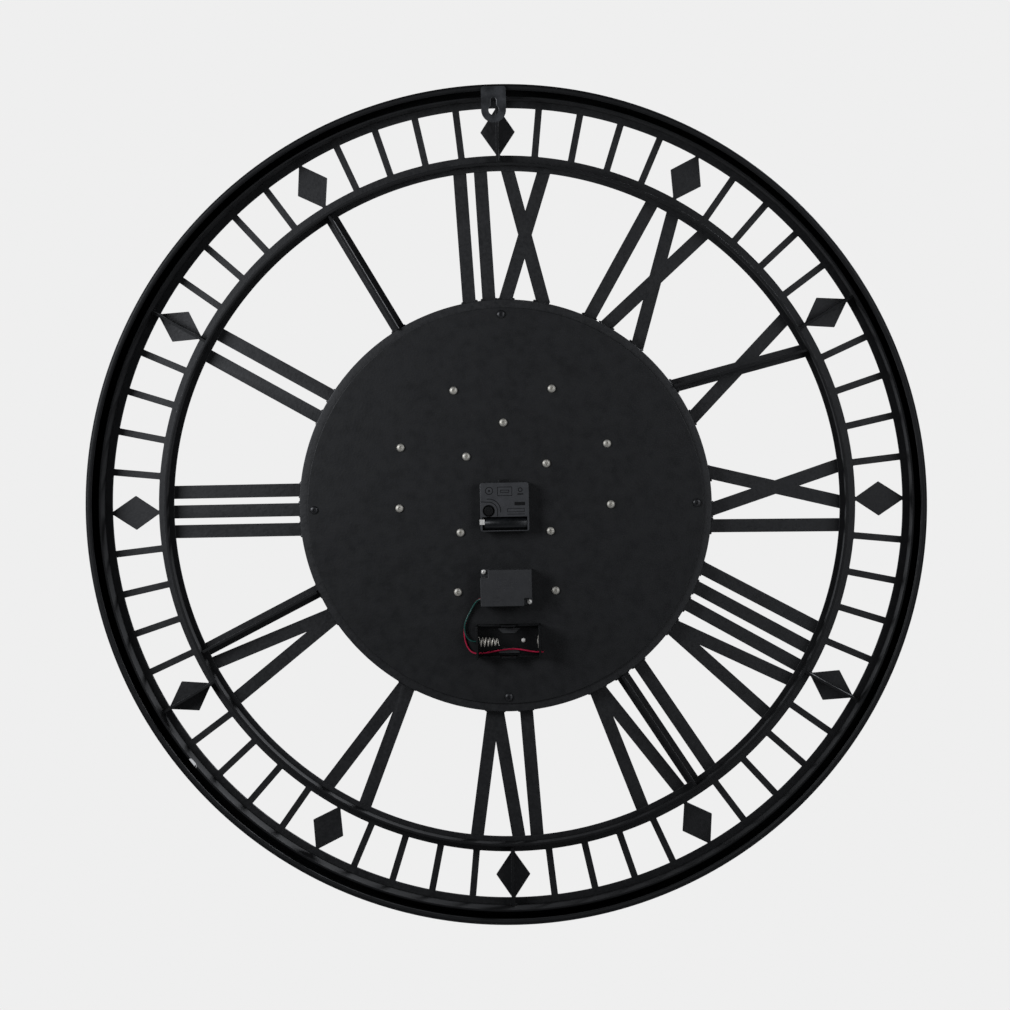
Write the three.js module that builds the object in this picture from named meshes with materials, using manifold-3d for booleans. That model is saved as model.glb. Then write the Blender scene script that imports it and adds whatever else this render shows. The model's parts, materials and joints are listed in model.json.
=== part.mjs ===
// Large skeleton wall clock: a hollow moulded rim, a minute track and chapter ring, open Roman numerals,
// and a closed drum that carries the hands' movement and a motor-driven train of display gears.
//
// The part's frame: +Z is up through 12, the front faces -Y, the wall is the plane y = 0, and the hands turn
// about the Y axis. Everything is drawn in the "face" group, whose own axes are x to the right seen from
// the front, y up, and z the distance from the wall. Sizes are in millimetres.
import * as THREE from "three";
import { mergeVertices } from "three/addons/utils/BufferGeometryUtils.js";
import Module from "manifold-3d";

const wasm = await Module();
wasm.setup();
const degrees = THREE.MathUtils.degToRad;

// ---------------------------------------------------------------- driving sizes
const GAP = 0.3; // between pieces that touch
const RUNNING = 0.1; // radial clearance of a shaft in its bearing
const HOURS = 12;
const BARS_PER_HOUR = 5;

// rim: pressed sheet with a rolled edge towards the wall
const RIM_R = 480;
const RIM_WIDTH = 22.4;
const FRONT = 58; // wall to the rim's front face
const RIM_SHEET = 1.5;
const RIM_CORNER = 12;
const BEAD = 7;

// minute track, chapter ring and the hoops behind them
const PLATE = 2; // sheet of the track, the numerals and the disc
const TRACK_HEIGHT = 54.2; // rim's bore to the chapter ring
const CHAPTER_WIDTH = 17.9;
const MINUTE_BAR = 7.8;
const DIAMOND = { width: 39.8, overlap: 2.4 }; // each point reaches into its ring by the overlap
const HOOP = { inset: 5.5, wall: 3, depth: 21 };
const OUTER_HOOP = { wall: 2.5, depth: 34 };
const RIB = { wall: 3, depth: 17 };

// drum and the disc that closes its back
const DRUM = { r: 238, wall: 3, flangeBore: 212 };
const DISC_R = 228.5;
const DISC_BACK = 40; // wall to the disc's rear face
const DISC_SCREW = { circle: 221, shank: 5, head: 9.4, height: 2.6, length: 11 };

// numerals: each stroke crosses the middle radius at x, leaning outwards by "lean" degrees
const STROKE = 15.2;
const NUMERAL_MIDDLE_R = 312;
const TIE = 11; // radial width of the arcs that hold a numeral's strokes together
const NUMERAL_LAP = 3; // the outer arc's step out from the chapter ring's bore
const V_HALF_ANGLE = 8.5;
const V_POINT_R = 223;
const X_HALF_ANGLE = 16;
const NUMERALS = {
  1: [["I", 0, 0]],
  2: [["I", -14.2, 0], ["I", 14.2, 0]],
  3: [["I", -22.8, 0], ["I", 0, 0], ["I", 23, 0]],
  4: [["I", -32, -3.4], ["V", 6.2, 0]],
  5: [["V", 0.5, 0]],
  6: [["V", -17, 0], ["I", 24, 3.7]],
  7: [["V", -20.6, -1], ["I", 17.4, 2.6], ["I", 42, 3.1]],
  8: [["V", -36, -4.4], ["I", 1.5, 0], ["I", 24.5, 0.6], ["I", 48.5, 1.3]],
  9: [["I", -28.8, -0.6], ["X", 15.3, 2.1]],
  10: [["X", -3.4, 0]],
  11: [["X", -25.5, -2.1], ["I", 20, 0]],
  12: [["X", -29, -2], ["I", 17.5, 2.6], ["I", 41, 3]],
};
// numeral strokes with a stiffening rib behind: hour, the rib's x at the middle radius, its lean
const STROKE_RIBS = [[1, 0, 0], [4, -32, -3.4], [7, 17.4, 2.6], [10, -3.4, -X_HALF_ANGLE]];

// hanger: a strap with a keyhole, welded over the bead
const HANGER = { width: 27, length: 39.5, sheet: 2, shift: 2, hole: 11.5, slot: 6, slotRise: 11 };

// gear train in one layer in front of the disc
const MODULE = 4;
const ADDENDUM = 0.75 * MODULE;
const DEDENDUM = 1.1 * MODULE;
const BACKLASH = 0.8;
const PRESSURE = degrees(25);
const GEAR_SHEET = 3;
const GEAR_WEB = { rim: 5, hub: 4, spoke: 7, spokes: 5, least: 8 };
const GEAR_LIFT = 4.5; // disc's rear face to the gears' rear face
const TEETH = { drive: 18, right: 23, left: 23, upper_right: 21, upper_left: 16, top: 8 };
const GEAR_X = { drive: 0, right: 52, left: -52, upper_right: 43.5, upper_left: -48.6, top: 0 };
const DRIVE_Y = -92.8;
const MESHES = [["drive", "right"], ["drive", "left"], ["right", "upper_right"], ["left", "upper_left"],
  ["upper_right", "top"]];
const POST = { screw: 5, head: 9.3, headHeight: 3, spacer: 12, axle: 6, cap: 10.5, capHeight: 2.2 };

// fixed ring of cogs in front of the train, on pillars
const COG_RING = { y: 17, bore: 116, r: 139, tooth: 11, cogs: 36, sheet: 2.5, clear: 2.5 };
const PILLARS = [[56.5, 134.5], [119, 70], [122, 0], [56.5, -98.2]]; // each with its mirror image

// movement of the hands; its case is as wide as its cell and the walls at the cell's ends
const CELL = { r: 7.2, length: 49, y: -19, nub: 5.4, nubHeight: 1.4 };
const MOVEMENT = { end: 2.8, depth: 16.2, corner: 3, wall: 2, back: 4.5, plate: 1.6 };
const BUSH = { diameter: 9.6, length: 12 };
const TAB = { width: 13, rise: 3.5, depth: 3 };
const KNOB = { x: 18.2, y: -4.2, r: 5.2, height: 2.6, shaft: 2.4, recess: 2.2 };
const HOUR_TUBE = 6.4;
const MINUTE_SHAFT = 4;
const NUT = { across: 14, height: 3.2 };
const HOUR_HAND = { length: 150, width: 17, tail: 34, sheet: 1.2, angle: -55 }; // clockwise from 12 at rest
const MINUTE_HAND = { length: 214, width: 14, tail: 46, sheet: 1.2, angle: 60 };
const HANDS_CLEAR = { posts: 2.4, each: 1.4 }; // hour hand to the ring posts' caps, and hand to hand
const CAP = { r: 5.5, height: 4 };

// motor that drives the train, and the tray of its cell
const MOTOR = { width: 59, height: 42, depth: 20, wall: 2, lid: 2.4, ear: 3, notch: 9 };
const MOTOR_CAN = { diameter: 15, length: 25 };
const MOTOR_SCREW = { shank: 2.6, head: 5.7, height: 2, inset: 3.4 };
const MOTOR_SHAFT = 5;
const TRAY = { x: -1.5, y: -155, width: 74, height: 38, depth: 28, wall: 2, rise: 9 };
const SADDLE = { width: 24, rise: 20 }; // the middle of the tray's long walls, which holds the cell
const SPRING = { wire: 1.1, base: 6.2, tip: 4.4, length: 23, turns: 5.5, z: 22 };
const CONTACT = { width: 14, height: 16, sheet: 0.8 };
const WIRE = 1.9;
const WIRE_HOLE = 3;
// leads from the motor case to the tray, each a list of [x, y, z] points
const GREEN_ROUTE = [[26, -106, 31.4], [28.5, -106, 31.4], [31, -106.3, 31.7], [35, -109, 33.5],
  [39, -114.5, 35.6], [43, -121.5, 36.4], [46.8, -129, 36.4], [49.3, -136.5, 36.4], [49.4, -143.5, 36.2],
  [47.3, -149.5, 35.3], [43.5, -153.5, 34.2], [39.5, -155, 33.6], [37, -155.2, 33.5], [34.5, -155.2, 33.5],
  [32, -155.2, 33.5]];
const RED_ROUTE = [[26, -106, 35], [28.5, -106, 35], [31, -106.3, 35.3], [35, -109, 37], [39, -114.5, 38.4],
  [43, -121.5, 38.7], [46.8, -129, 38.7], [49.3, -136.5, 38.7], [50, -144, 38.7], [49.6, -151, 38.6],
  [48, -158, 38], [45, -164, 37], [41, -167.8, 35.8], [37.2, -169, 35.2], [34.5, -169, 35.2],
  [32, -169, 35.2], [27, -168.8, 35.3], [20, -167.8, 35.3], [12, -166.4, 35.3], [4, -165.3, 35.3],
  [-4, -164.8, 35.3], [-12, -165.1, 35.3], [-20, -166.4, 35.3], [-28, -168, 35.2], [-34, -168.6, 35],
  [-37.5, -168.6, 35], [-41, -168.6, 35]];
const RED_ENTRY = 14; // the red lead's point in the tray's end wall

// facets on a full turn
const RIM_FACETS = 72;
const SMALL_FACETS = 8;

const COLOURS = {
  black_powder_coat: { color: 0x2b2b2d, roughness: 0.5, metalness: 0.3 },
  black_screw: { color: 0x1c1c1e, roughness: 0.4, metalness: 0.6 },
  zinc: { color: 0xb9bcc0, roughness: 0.3, metalness: 0.9 },
  black_plastic: { color: 0x232326, roughness: 0.55, metalness: 0 },
  brass: { color: 0xb08d4f, roughness: 0.35, metalness: 0.9 },
  cell_wrap: { color: 0x2c3036, roughness: 0.35, metalness: 0.2 },
  red_lead: { color: 0xa0243c, roughness: 0.5, metalness: 0 },
  green_lead: { color: 0x1d3a36, roughness: 0.5, metalness: 0 },
};

// ---------------------------------------------------------------- solids
function solidOf(geometry) {
  const bare = geometry.index ? geometry.toNonIndexed() : geometry.clone();
  bare.deleteAttribute("normal");
  bare.deleteAttribute("uv");
  const merged = mergeVertices(bare, 1e-4);
  return new wasm.Manifold(new wasm.Mesh({
    numProp: 3,
    vertProperties: merged.attributes.position.array,
    triVerts: new Uint32Array(merged.index.array),
  }));
}

function geometryOf(solid) {
  const mesh = solid.getMesh();
  const geometry = new THREE.BufferGeometry();
  geometry.setAttribute("position", new THREE.BufferAttribute(mesh.vertProperties, 3));
  geometry.setIndex(new THREE.BufferAttribute(mesh.triVerts, 1));
  const flat = geometry.toNonIndexed();
  flat.computeVertexNormals();
  return flat;
}

function join(first, ...others) {
  return geometryOf(others.reduce((whole, piece) => whole.add(solidOf(piece)), solidOf(first)));
}

function cut(first, ...tools) {
  return geometryOf(tools.reduce((rest, tool) => rest.subtract(solidOf(tool)), solidOf(first)));
}

// A closed outline with holes, from z to z + thickness.
function plate(outline, holes, z, thickness) {
  const extrude = (points, from, depth) =>
    new THREE.ExtrudeGeometry(new THREE.Shape(points), { depth, bevelEnabled: false }).translate(0, 0, from);
  return cut(extrude(outline, z, thickness), ...holes.map((hole) => extrude(hole, z - 1, thickness + 2)));
}

// A profile of [radius, z] points turned about the z axis; it closes on itself unless it ends on the axis.
function turned(profile, facets = SMALL_FACETS) {
  const closed = profile[0][0] === 0 ? profile : [...profile, profile[0]];
  const points = closed.map(([r, z]) => new THREE.Vector2(r, -z));
  return new THREE.LatheGeometry(points.reverse(), facets).rotateX(-Math.PI / 2);
}

function point(r, angle) {
  return new THREE.Vector2(r * Math.sin(angle), r * Math.cos(angle));
}

// Points on an arc about the centre, angles clockwise from 12 in radians.
function arc(r, from, to, steps) {
  return Array.from({ length: steps + 1 }, (_, i) => point(r, from + ((to - from) * i) / steps));
}

function circle(r, facets = SMALL_FACETS, x = 0, y = 0) {
  return arc(r, 0, 2 * Math.PI, facets).slice(0, -1).map((p) => p.add(new THREE.Vector2(x, y)));
}

function ring(bore, r, z, thickness, facets = RIM_FACETS) {
  return turned([[bore, z], [r, z], [r, z + thickness], [bore, z + thickness]], facets);
}

function rod(r, z, length, facets = SMALL_FACETS) {
  return turned([[0, z], [r, z], [r, z + length], [0, z + length]], facets);
}

function box(width, height, z, depth) {
  return new THREE.BoxGeometry(width, height, depth).translate(0, 0, z + depth / 2);
}

function roundedOutline(width, height, corner, steps = 3) {
  const corners = [[1, 1, 0], [1, -1, 1], [-1, -1, 2], [-1, 1, 3]];
  return corners.flatMap(([sx, sy, quarter]) => arc(corner, (quarter * Math.PI) / 2,
    ((quarter + 1) * Math.PI) / 2, steps).map((p) => p.add(new THREE.Vector2(
    sx * (width / 2 - corner), sy * (height / 2 - corner)))));
}

// ---------------------------------------------------------------- places that several pieces share
const rimBoreR = RIM_R - RIM_WIDTH;
const chapterR = rimBoreR - TRACK_HEIGHT;
const chapterBoreR = chapterR - CHAPTER_WIDTH;
const hoopBoreR = chapterBoreR + HOOP.inset;
const trackR = RIM_R - RIM_CORNER - GAP; // the track's outer edge, behind the rim's front flange
const trackZ = FRONT - RIM_SHEET - GAP - PLATE; // the minute track's rear face
const hoopTop = trackZ - GAP;
const numeralZ = trackZ + PLATE + GAP;
const flangeZ = DISC_BACK + PLATE + GAP;
const drumFront = numeralZ - GAP;
const gearZ = DISC_BACK + GEAR_LIFT;
const ringZ = gearZ + GEAR_SHEET + COG_RING.clear;
const hourHandZ = ringZ + COG_RING.sheet + GAP + POST.capHeight + HANDS_CLEAR.posts;
const minuteHandZ = hourHandZ + HOUR_HAND.sheet + HANDS_CLEAR.each;
const capZ = minuteHandZ + MINUTE_HAND.sheet + GAP;
const headZ = DISC_BACK - GAP;
const movementSize = CELL.length + CELL.nubHeight + 2 * MOVEMENT.end;

const gearPlaces = { drive: new THREE.Vector2(GEAR_X.drive, DRIVE_Y) };
const gearAngles = { drive: 0 };
for (const [from, to] of MESHES) {
  const start = gearPlaces[from];
  const distance = (MODULE * (TEETH[from] + TEETH[to])) / 2;
  const across = GEAR_X[to] - start.x;
  gearPlaces[to] = new THREE.Vector2(GEAR_X[to], start.y + Math.sqrt(distance ** 2 - across ** 2));
  // a tooth of one gear faces a gap of the other along the line between their centres
  const line = Math.atan2(gearPlaces[to].x - start.x, gearPlaces[to].y - start.y);
  const phase = (TEETH[from] * (line - gearAngles[from])) / (2 * Math.PI);
  gearAngles[to] = line + Math.PI - ((2 * Math.PI) / TEETH[to]) * (0.5 - phase);
}

// ---------------------------------------------------------------- rim, track and chapter frame
function rim() {
  const back = HANGER.sheet + GAP;
  const beadR = RIM_R - BEAD / 2;
  const beadZ = back + BEAD / 2;
  const inner = RIM_CORNER - RIM_SHEET;
  const start = Math.acos((BEAD / 2 - RIM_SHEET) / (BEAD / 2));
  const bead = Array.from({ length: 6 }, (_, i) => start + ((2 * Math.PI - start) * i) / 5)
    .map((a) => [beadR + (BEAD / 2) * Math.cos(a), beadZ + (BEAD / 2) * Math.sin(a)]);
  const corner = (r) => [0, 1, 2].map((i) => (i * Math.PI) / 4)
    .map((a) => [RIM_R - RIM_CORNER + r * Math.cos(a), FRONT - RIM_CORNER + r * Math.sin(a)]);
  return turned([...bead, ...corner(RIM_CORNER), [rimBoreR, FRONT], [rimBoreR, FRONT - RIM_SHEET],
    ...corner(inner).reverse()], RIM_FACETS);
}

// One side of a minute bar or hour diamond from the chapter ring out to the rim, as [offset, radius] points.
function barSide(index) {
  if (index % BARS_PER_HOUR > 0) return [[MINUTE_BAR / 2, chapterR], [MINUTE_BAR / 2, rimBoreR]];
  const wide = DIAMOND.width / 2;
  const neck = (wide * DIAMOND.overlap) / (TRACK_HEIGHT / 2 + DIAMOND.overlap);
  return [[neck, chapterR], [wide, (chapterR + rimBoreR) / 2], [neck, rimBoreR]];
}

function minuteTrack() {
  const bars = HOURS * BARS_PER_HOUR;
  const step = (2 * Math.PI) / bars;
  const windows = Array.from({ length: bars }, (_, i) => {
    const side = (index, sign) => barSide(index).map(([offset, r]) =>
      point(r, index * step + sign * Math.asin(offset / r)));
    return [...side(i, 1), ...side(i + 1, -1).reverse()];
  });
  return plate(circle(trackR, 2 * bars), [circle(chapterBoreR, 2 * bars), ...windows], trackZ, PLATE);
}

// A flat bar on edge behind the plates, from one radius to another along a leaning line.
function rib(angle, x, lean, fromR, toR) {
  const along = 1 / Math.cos(degrees(lean));
  const geometry = new THREE.BoxGeometry(RIB.wall, (toR - fromR) * along, RIB.depth);
  geometry.translate(0, ((fromR + toR) / 2 - NUMERAL_MIDDLE_R) * along, hoopTop - RIB.depth / 2);
  return geometry.rotateZ(-degrees(lean)).translate(x, NUMERAL_MIDDLE_R, 0).rotateZ(-angle);
}

function chapterFrame() {
  const hoopMiddle = hoopBoreR + HOOP.wall / 2;
  const outerBore = trackR - OUTER_HOOP.wall;
  const hoop = ring(hoopBoreR, hoopBoreR + HOOP.wall, hoopTop - HOOP.depth, HOOP.depth);
  const outer = ring(outerBore, trackR, hoopTop - OUTER_HOOP.depth, OUTER_HOOP.depth);
  const diamondRibs = [0, 2, 4, 6, 8, 10].map((hour) =>
    rib(degrees(30 * hour), 0, 0, hoopMiddle, outerBore + OUTER_HOOP.wall / 2));
  const strokeRibs = STROKE_RIBS.map(([hour, x, lean]) =>
    rib(degrees(30 * hour), x, lean, DRUM.r - DRUM.wall, hoopBoreR + HOOP.wall / 6));
  const drumSpace = rod(DRUM.r + GAP, hoopTop - RIB.depth - 1, RIB.depth + 2, RIM_FACETS);
  return cut(join(hoop, outer, ...diamondRibs, ...strokeRibs), drumSpace);
}

// ---------------------------------------------------------------- numerals
function strokes([form, x, lean]) {
  if (form === "I") return [{ x, lean }];
  if (form === "X") return [-1, 1].map((side) => ({ x, lean: lean + side * X_HALF_ANGLE }));
  const spread = (NUMERAL_MIDDLE_R - V_POINT_R) * Math.tan(degrees(V_HALF_ANGLE));
  return [-1, 1].map((side) => ({ x: x + side * spread, lean: lean + side * V_HALF_ANGLE }));
}

function numeral(hour) {
  const innerTie = DRUM.r - TIE - NUMERAL_LAP / 3;
  const outerTie = chapterBoreR + NUMERAL_LAP;
  const bars = NUMERALS[hour].flatMap(strokes);
  const edges = (r) => bars.flatMap(({ x, lean }) => [-1, 1].map((side) =>
    Math.atan2(x + (r - NUMERAL_MIDDLE_R) * Math.tan(degrees(lean)) + (side * STROKE) / 2, r)));
  const tie = (r) => {
    const angles = edges(r + TIE / 2);
    const from = Math.min(...angles);
    const to = Math.max(...angles);
    return plate([...arc(r + TIE, from, to, 3), ...arc(r, to, from, 3)], [], numeralZ, PLATE);
  };
  const pieces = bars.map(({ x, lean }) => {
    const along = 1 / Math.cos(degrees(lean));
    const low = innerTie + TIE / 2 - NUMERAL_MIDDLE_R;
    const high = outerTie + TIE / 2 - NUMERAL_MIDDLE_R;
    return box(STROKE, (high - low) * along, numeralZ, PLATE).translate(0, ((high + low) / 2) * along, 0)
      .rotateZ(-degrees(lean)).translate(x, NUMERAL_MIDDLE_R, 0);
  });
  return join(tie(innerTie), tie(outerTie), ...pieces).rotateZ(-degrees(30 * hour));
}

// ---------------------------------------------------------------- hanger, drum and disc
function hanger() {
  const half = HANGER.width / 2;
  const top = RIM_R - BEAD / 2;
  const eye = top - HANGER.length + half;
  const outline = [new THREE.Vector2(-half, top), new THREE.Vector2(half, top),
    ...arc(half, Math.PI / 2, (3 * Math.PI) / 2, 10).map((p) => p.add(new THREE.Vector2(0, eye)))];
  const neck = Math.asin(HANGER.slot / HANGER.hole);
  const rise = new THREE.Vector2(0, eye + HANGER.slotRise);
  const keyhole = [
    ...arc(HANGER.hole / 2, neck, 2 * Math.PI - neck, 12).map((p) => p.add(new THREE.Vector2(0, eye))),
    ...arc(HANGER.slot / 2, -Math.PI / 2, Math.PI / 2, 6).map((p) => p.add(rise))];
  return plate(outline, [keyhole], 0, HANGER.sheet).translate(HANGER.shift, 0, 0);
}

const discScrewAngles = [0, 1, 2, 3].map((quarter) => (quarter * Math.PI) / 2);

function drumHoop() {
  const flange = flangeZ + PLATE;
  const shell = turned([[DRUM.flangeBore, flangeZ], [DRUM.r, flangeZ], [DRUM.r, drumFront],
    [DRUM.r - DRUM.wall, drumFront], [DRUM.r - DRUM.wall, flange], [DRUM.flangeBore, flange]], RIM_FACETS);
  const holes = discScrewAngles.map((angle) => rod(DISC_SCREW.shank / 2 + GAP, flangeZ - 1, PLATE + 2)
    .translate(...point(DISC_SCREW.circle, angle).toArray(), 0));
  return cut(shell, ...holes);
}

function mirrored(places) {
  return places.flatMap(([x, y]) => [[x, y], [-x, y]]);
}

const gearPosts = MESHES.map(([, name]) => gearPlaces[name].toArray());
const ringPosts = mirrored(PILLARS);
const motorScrews = [1, -1].map((side) => [
  side * (MOTOR.width / 2 - MOTOR_SCREW.inset), DRIVE_Y + side * (MOTOR.height / 2 - MOTOR_SCREW.inset)]);

function backDisc() {
  const hole = (diameter, x, y) => circle(diameter / 2 + GAP, SMALL_FACETS, x, y);
  return plate(circle(DISC_R, RIM_FACETS), [
    hole(BUSH.diameter, 0, 0),
    hole(MOTOR_SHAFT, ...gearPlaces.drive.toArray()),
    ...[...gearPosts, ...ringPosts].map(([x, y]) => hole(POST.screw, x, y)),
    ...discScrewAngles.map((angle) => hole(DISC_SCREW.shank, ...point(DISC_SCREW.circle, angle).toArray())),
    ...motorScrews.map(([x, y]) => hole(MOTOR_SCREW.shank, x, y)),
  ], DISC_BACK, PLATE);
}

// A pan head towards the wall with its shank behind it.
function panScrew(head, height, shank, length) {
  return turned([[0, -height], [head * 0.35, -height], [head / 2, 0], [shank / 2, 0], [shank / 2, length],
    [0, length]]);
}

// A shouldered post with its rear screw: pan head, shank through the disc, spacer, axle and front cap.
function post(seatZ, thickness) {
  const back = headZ - POST.headHeight;
  const seatTop = seatZ + thickness + GAP;
  return turned([[0, back], [POST.head * 0.35, back], [POST.head / 2, headZ],
    [POST.screw / 2, headZ], [POST.screw / 2, flangeZ], [POST.spacer / 2, flangeZ],
    [POST.spacer / 2, seatZ - GAP], [POST.axle / 2, seatZ - GAP], [POST.axle / 2, seatTop],
    [POST.cap / 2, seatTop], [POST.cap * 0.35, seatTop + POST.capHeight], [0, seatTop + POST.capHeight]]);
}

// ---------------------------------------------------------------- gears
function gearOutline(teeth, angle) {
  const pitch = (MODULE * teeth) / 2;
  const base = pitch * Math.cos(PRESSURE);
  const involute = (r) => {
    const pressure = Math.acos(Math.min(1, base / r));
    return Math.tan(pressure) - pressure;
  };
  const half = (r) => ((Math.PI * MODULE) / 2 - BACKLASH) / (2 * pitch) + involute(pitch) - involute(r);
  const radii = [pitch - DEDENDUM, pitch + ADDENDUM];
  return Array.from({ length: teeth }, (_, i) => angle + (2 * Math.PI * i) / teeth).flatMap((middle) => [
    ...radii.map((r) => point(r, middle - half(r))),
    ...radii.map((r) => point(r, middle + half(r))).reverse()]);
}

// Openings between the spokes, where the gear is large enough to have any.
function gearWindows(teeth, angle) {
  const outer = (MODULE * teeth) / 2 - DEDENDUM - GEAR_WEB.rim;
  const inner = POST.spacer / 2 + GEAR_WEB.hub;
  if (outer - inner < GEAR_WEB.least) return [];
  const side = (r, sign) => sign * (Math.PI / GEAR_WEB.spokes - Math.asin(GEAR_WEB.spoke / 2 / r));
  const step = (2 * Math.PI) / GEAR_WEB.spokes;
  return Array.from({ length: GEAR_WEB.spokes }, (_, i) => angle + step * (i + 0.5)).map((middle) => [
    ...arc(outer, middle + side(outer, -1), middle + side(outer, 1), 3),
    ...arc(inner, middle + side(inner, 1), middle + side(inner, -1), 1)]);
}

// Radius of a faceted bore that clears a shaft all round.
function boreRadius(shaftR, facets = SMALL_FACETS) {
  return (shaftR + RUNNING) / Math.cos(Math.PI / facets);
}

function gear(name) {
  const windows = gearWindows(TEETH[name], gearAngles[name]);
  return plate(gearOutline(TEETH[name], gearAngles[name]), [circle(boreRadius(POST.axle / 2)), ...windows],
    0, GEAR_SHEET);
}

// The driving gear is fixed on the motor's shaft, which reaches back through the disc into the motor case.
function driveGear() {
  const blank = plate(gearOutline(TEETH.drive, gearAngles.drive), gearWindows(TEETH.drive, gearAngles.drive),
    0, GEAR_SHEET);
  const hubBack = flangeZ - gearZ;
  const hub = rod(POST.spacer / 2, hubBack, GEAR_SHEET + 1.5 - hubBack);
  const shaftBack = DISC_BACK - MOTOR.depth * 0.6 - gearZ;
  return join(blank, hub, rod(MOTOR_SHAFT / 2, shaftBack, GEAR_SHEET - shaftBack));
}

function cogRing() {
  const step = (2 * Math.PI) / COG_RING.cogs;
  const outer = COG_RING.r + COG_RING.tooth;
  const outline = Array.from({ length: COG_RING.cogs }, (_, i) => i * step).flatMap((middle) => [
    point(COG_RING.r, middle - 0.3 * step), point(outer, middle - 0.18 * step),
    point(outer, middle + 0.18 * step), point(COG_RING.r, middle + 0.3 * step)]);
  const holes = ringPosts.map(([x, y]) => circle(POST.axle / 2 + GAP, SMALL_FACETS, x, y - COG_RING.y));
  return plate(outline, [circle(COG_RING.bore, 48), ...holes], ringZ, COG_RING.sheet);
}

// ---------------------------------------------------------------- movement and hands
const movementBack = headZ - MOVEMENT.depth;
const movementOutline = roundedOutline(movementSize, movementSize, MOVEMENT.corner);
const coverFront = headZ - MOVEMENT.plate - GAP;

function movementCase() {
  const base = plate(movementOutline, [], headZ - MOVEMENT.plate, MOVEMENT.plate);
  const bush = rod(BUSH.diameter / 2, headZ - MOVEMENT.plate, BUSH.length + PLATE);
  return cut(join(base, bush), rod(boreRadius(HOUR_TUBE / 2), 0, hourHandZ));
}

function movementCover() {
  const inside = movementSize - 2 * MOVEMENT.wall;
  const body = plate(movementOutline, [], movementBack, coverFront - movementBack);
  const tab = box(TAB.width, 2 * TAB.rise, movementBack, TAB.depth).translate(0, movementSize / 2, 0);
  const bayTop = CELL.y + CELL.r + 2 * GAP;
  const bayLength = CELL.length + CELL.nubHeight + 4 * GAP;
  const bay = box(bayLength, 2 * (CELL.r + 2 * GAP), movementBack - 1, MOVEMENT.depth)
    .translate(0, CELL.y, 0);
  const roomBottom = bayTop + MOVEMENT.wall;
  const room = box(inside, inside / 2 - roomBottom, movementBack + MOVEMENT.back, MOVEMENT.depth)
    .translate(0, (inside / 2 + roomBottom) / 2, 0);
  const recess = rod(KNOB.r + 1.2, movementBack - 1, 1 + KNOB.recess, 12).translate(KNOB.x, KNOB.y, 0);
  const shaftHole = rod(boreRadius(KNOB.shaft / 2), movementBack - 1, MOVEMENT.depth)
    .translate(KNOB.x, KNOB.y, 0);
  return cut(join(body, tab), bay, room, recess, shaftHole);
}

// The cell lies across the bay with its nub towards +x.
function movementCell() {
  const z = coverFront - CELL.r - GAP;
  const half = CELL.length / 2;
  return turned([[0, -half], [CELL.r, -half], [CELL.r, half], [CELL.nub / 2, half],
    [CELL.nub / 2, half + CELL.nubHeight], [0, half + CELL.nubHeight]])
    .rotateY(Math.PI / 2).translate(-CELL.nubHeight / 2, CELL.y, z);
}

function setKnob() {
  const seat = movementBack + KNOB.recess - GAP;
  const grip = Array.from({ length: 24 }, (_, i) => point(KNOB.r - (i % 2) * 0.5, (i * Math.PI) / 12));
  const shaft = rod(KNOB.shaft / 2, seat - KNOB.height / 2, MOVEMENT.back + 3);
  return join(plate(grip, [], seat - KNOB.height, KNOB.height), shaft);
}

function movementNut() {
  return plate(circle(NUT.across / 2 / Math.cos(Math.PI / 6), 6), [circle(BUSH.diameter / 2 + GAP)],
    flangeZ, NUT.height);
}

// A spade hand: a tapering blade with a leaf near its point, a round boss and a tail.
function handBlade({ length, width, tail, sheet }) {
  const boss = width * 0.75;
  const stem = width * 0.28;
  const outline = [[stem, 0], [stem * 0.8, length * 0.55], [width / 2, length * 0.66],
    [width * 0.4, length * 0.74], [0, length]];
  const half = outline.map(([x, y]) => new THREE.Vector2(x, y));
  const other = outline.slice(0, -1).reverse().map(([x, y]) => new THREE.Vector2(-x, y));
  const tailEnd = [new THREE.Vector2(-width * 0.3, -tail), new THREE.Vector2(width * 0.3, -tail)];
  return join(plate([...half, ...other, ...tailEnd], [], 0, sheet), rod(boss, 0, sheet, 24));
}

function hourHand() {
  const back = DISC_BACK - MOVEMENT.plate * 3 - hourHandZ;
  const tube = rod(HOUR_TUBE / 2, back, HOUR_HAND.sheet - back);
  const bore = rod(boreRadius(MINUTE_SHAFT / 2), back - 1, HOUR_HAND.sheet + 2 - back);
  return cut(join(handBlade(HOUR_HAND), tube), bore).rotateZ(-degrees(HOUR_HAND.angle));
}

function minuteHand() {
  const back = DISC_BACK - MOVEMENT.plate * 5 - minuteHandZ;
  const shaft = rod(MINUTE_SHAFT / 2, back, MINUTE_HAND.sheet - back);
  const stud = rod(MINUTE_SHAFT * 0.375, 0, capZ - minuteHandZ + CAP.height / 2 - GAP);
  return join(handBlade(MINUTE_HAND), shaft, stud).rotateZ(-degrees(MINUTE_HAND.angle));
}

function handCap() {
  const studR = MINUTE_SHAFT * 0.375 + GAP;
  return turned([[0, CAP.height / 2], [studR, CAP.height / 2], [studR, 0], [CAP.r, 0],
    [CAP.r, CAP.height * 0.4], [CAP.r * 0.7, CAP.height * 0.85], [0, CAP.height]], 16).translate(0, 0, capZ);
}

// ---------------------------------------------------------------- motor and tray
const motorBack = headZ - MOTOR.depth;

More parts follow.
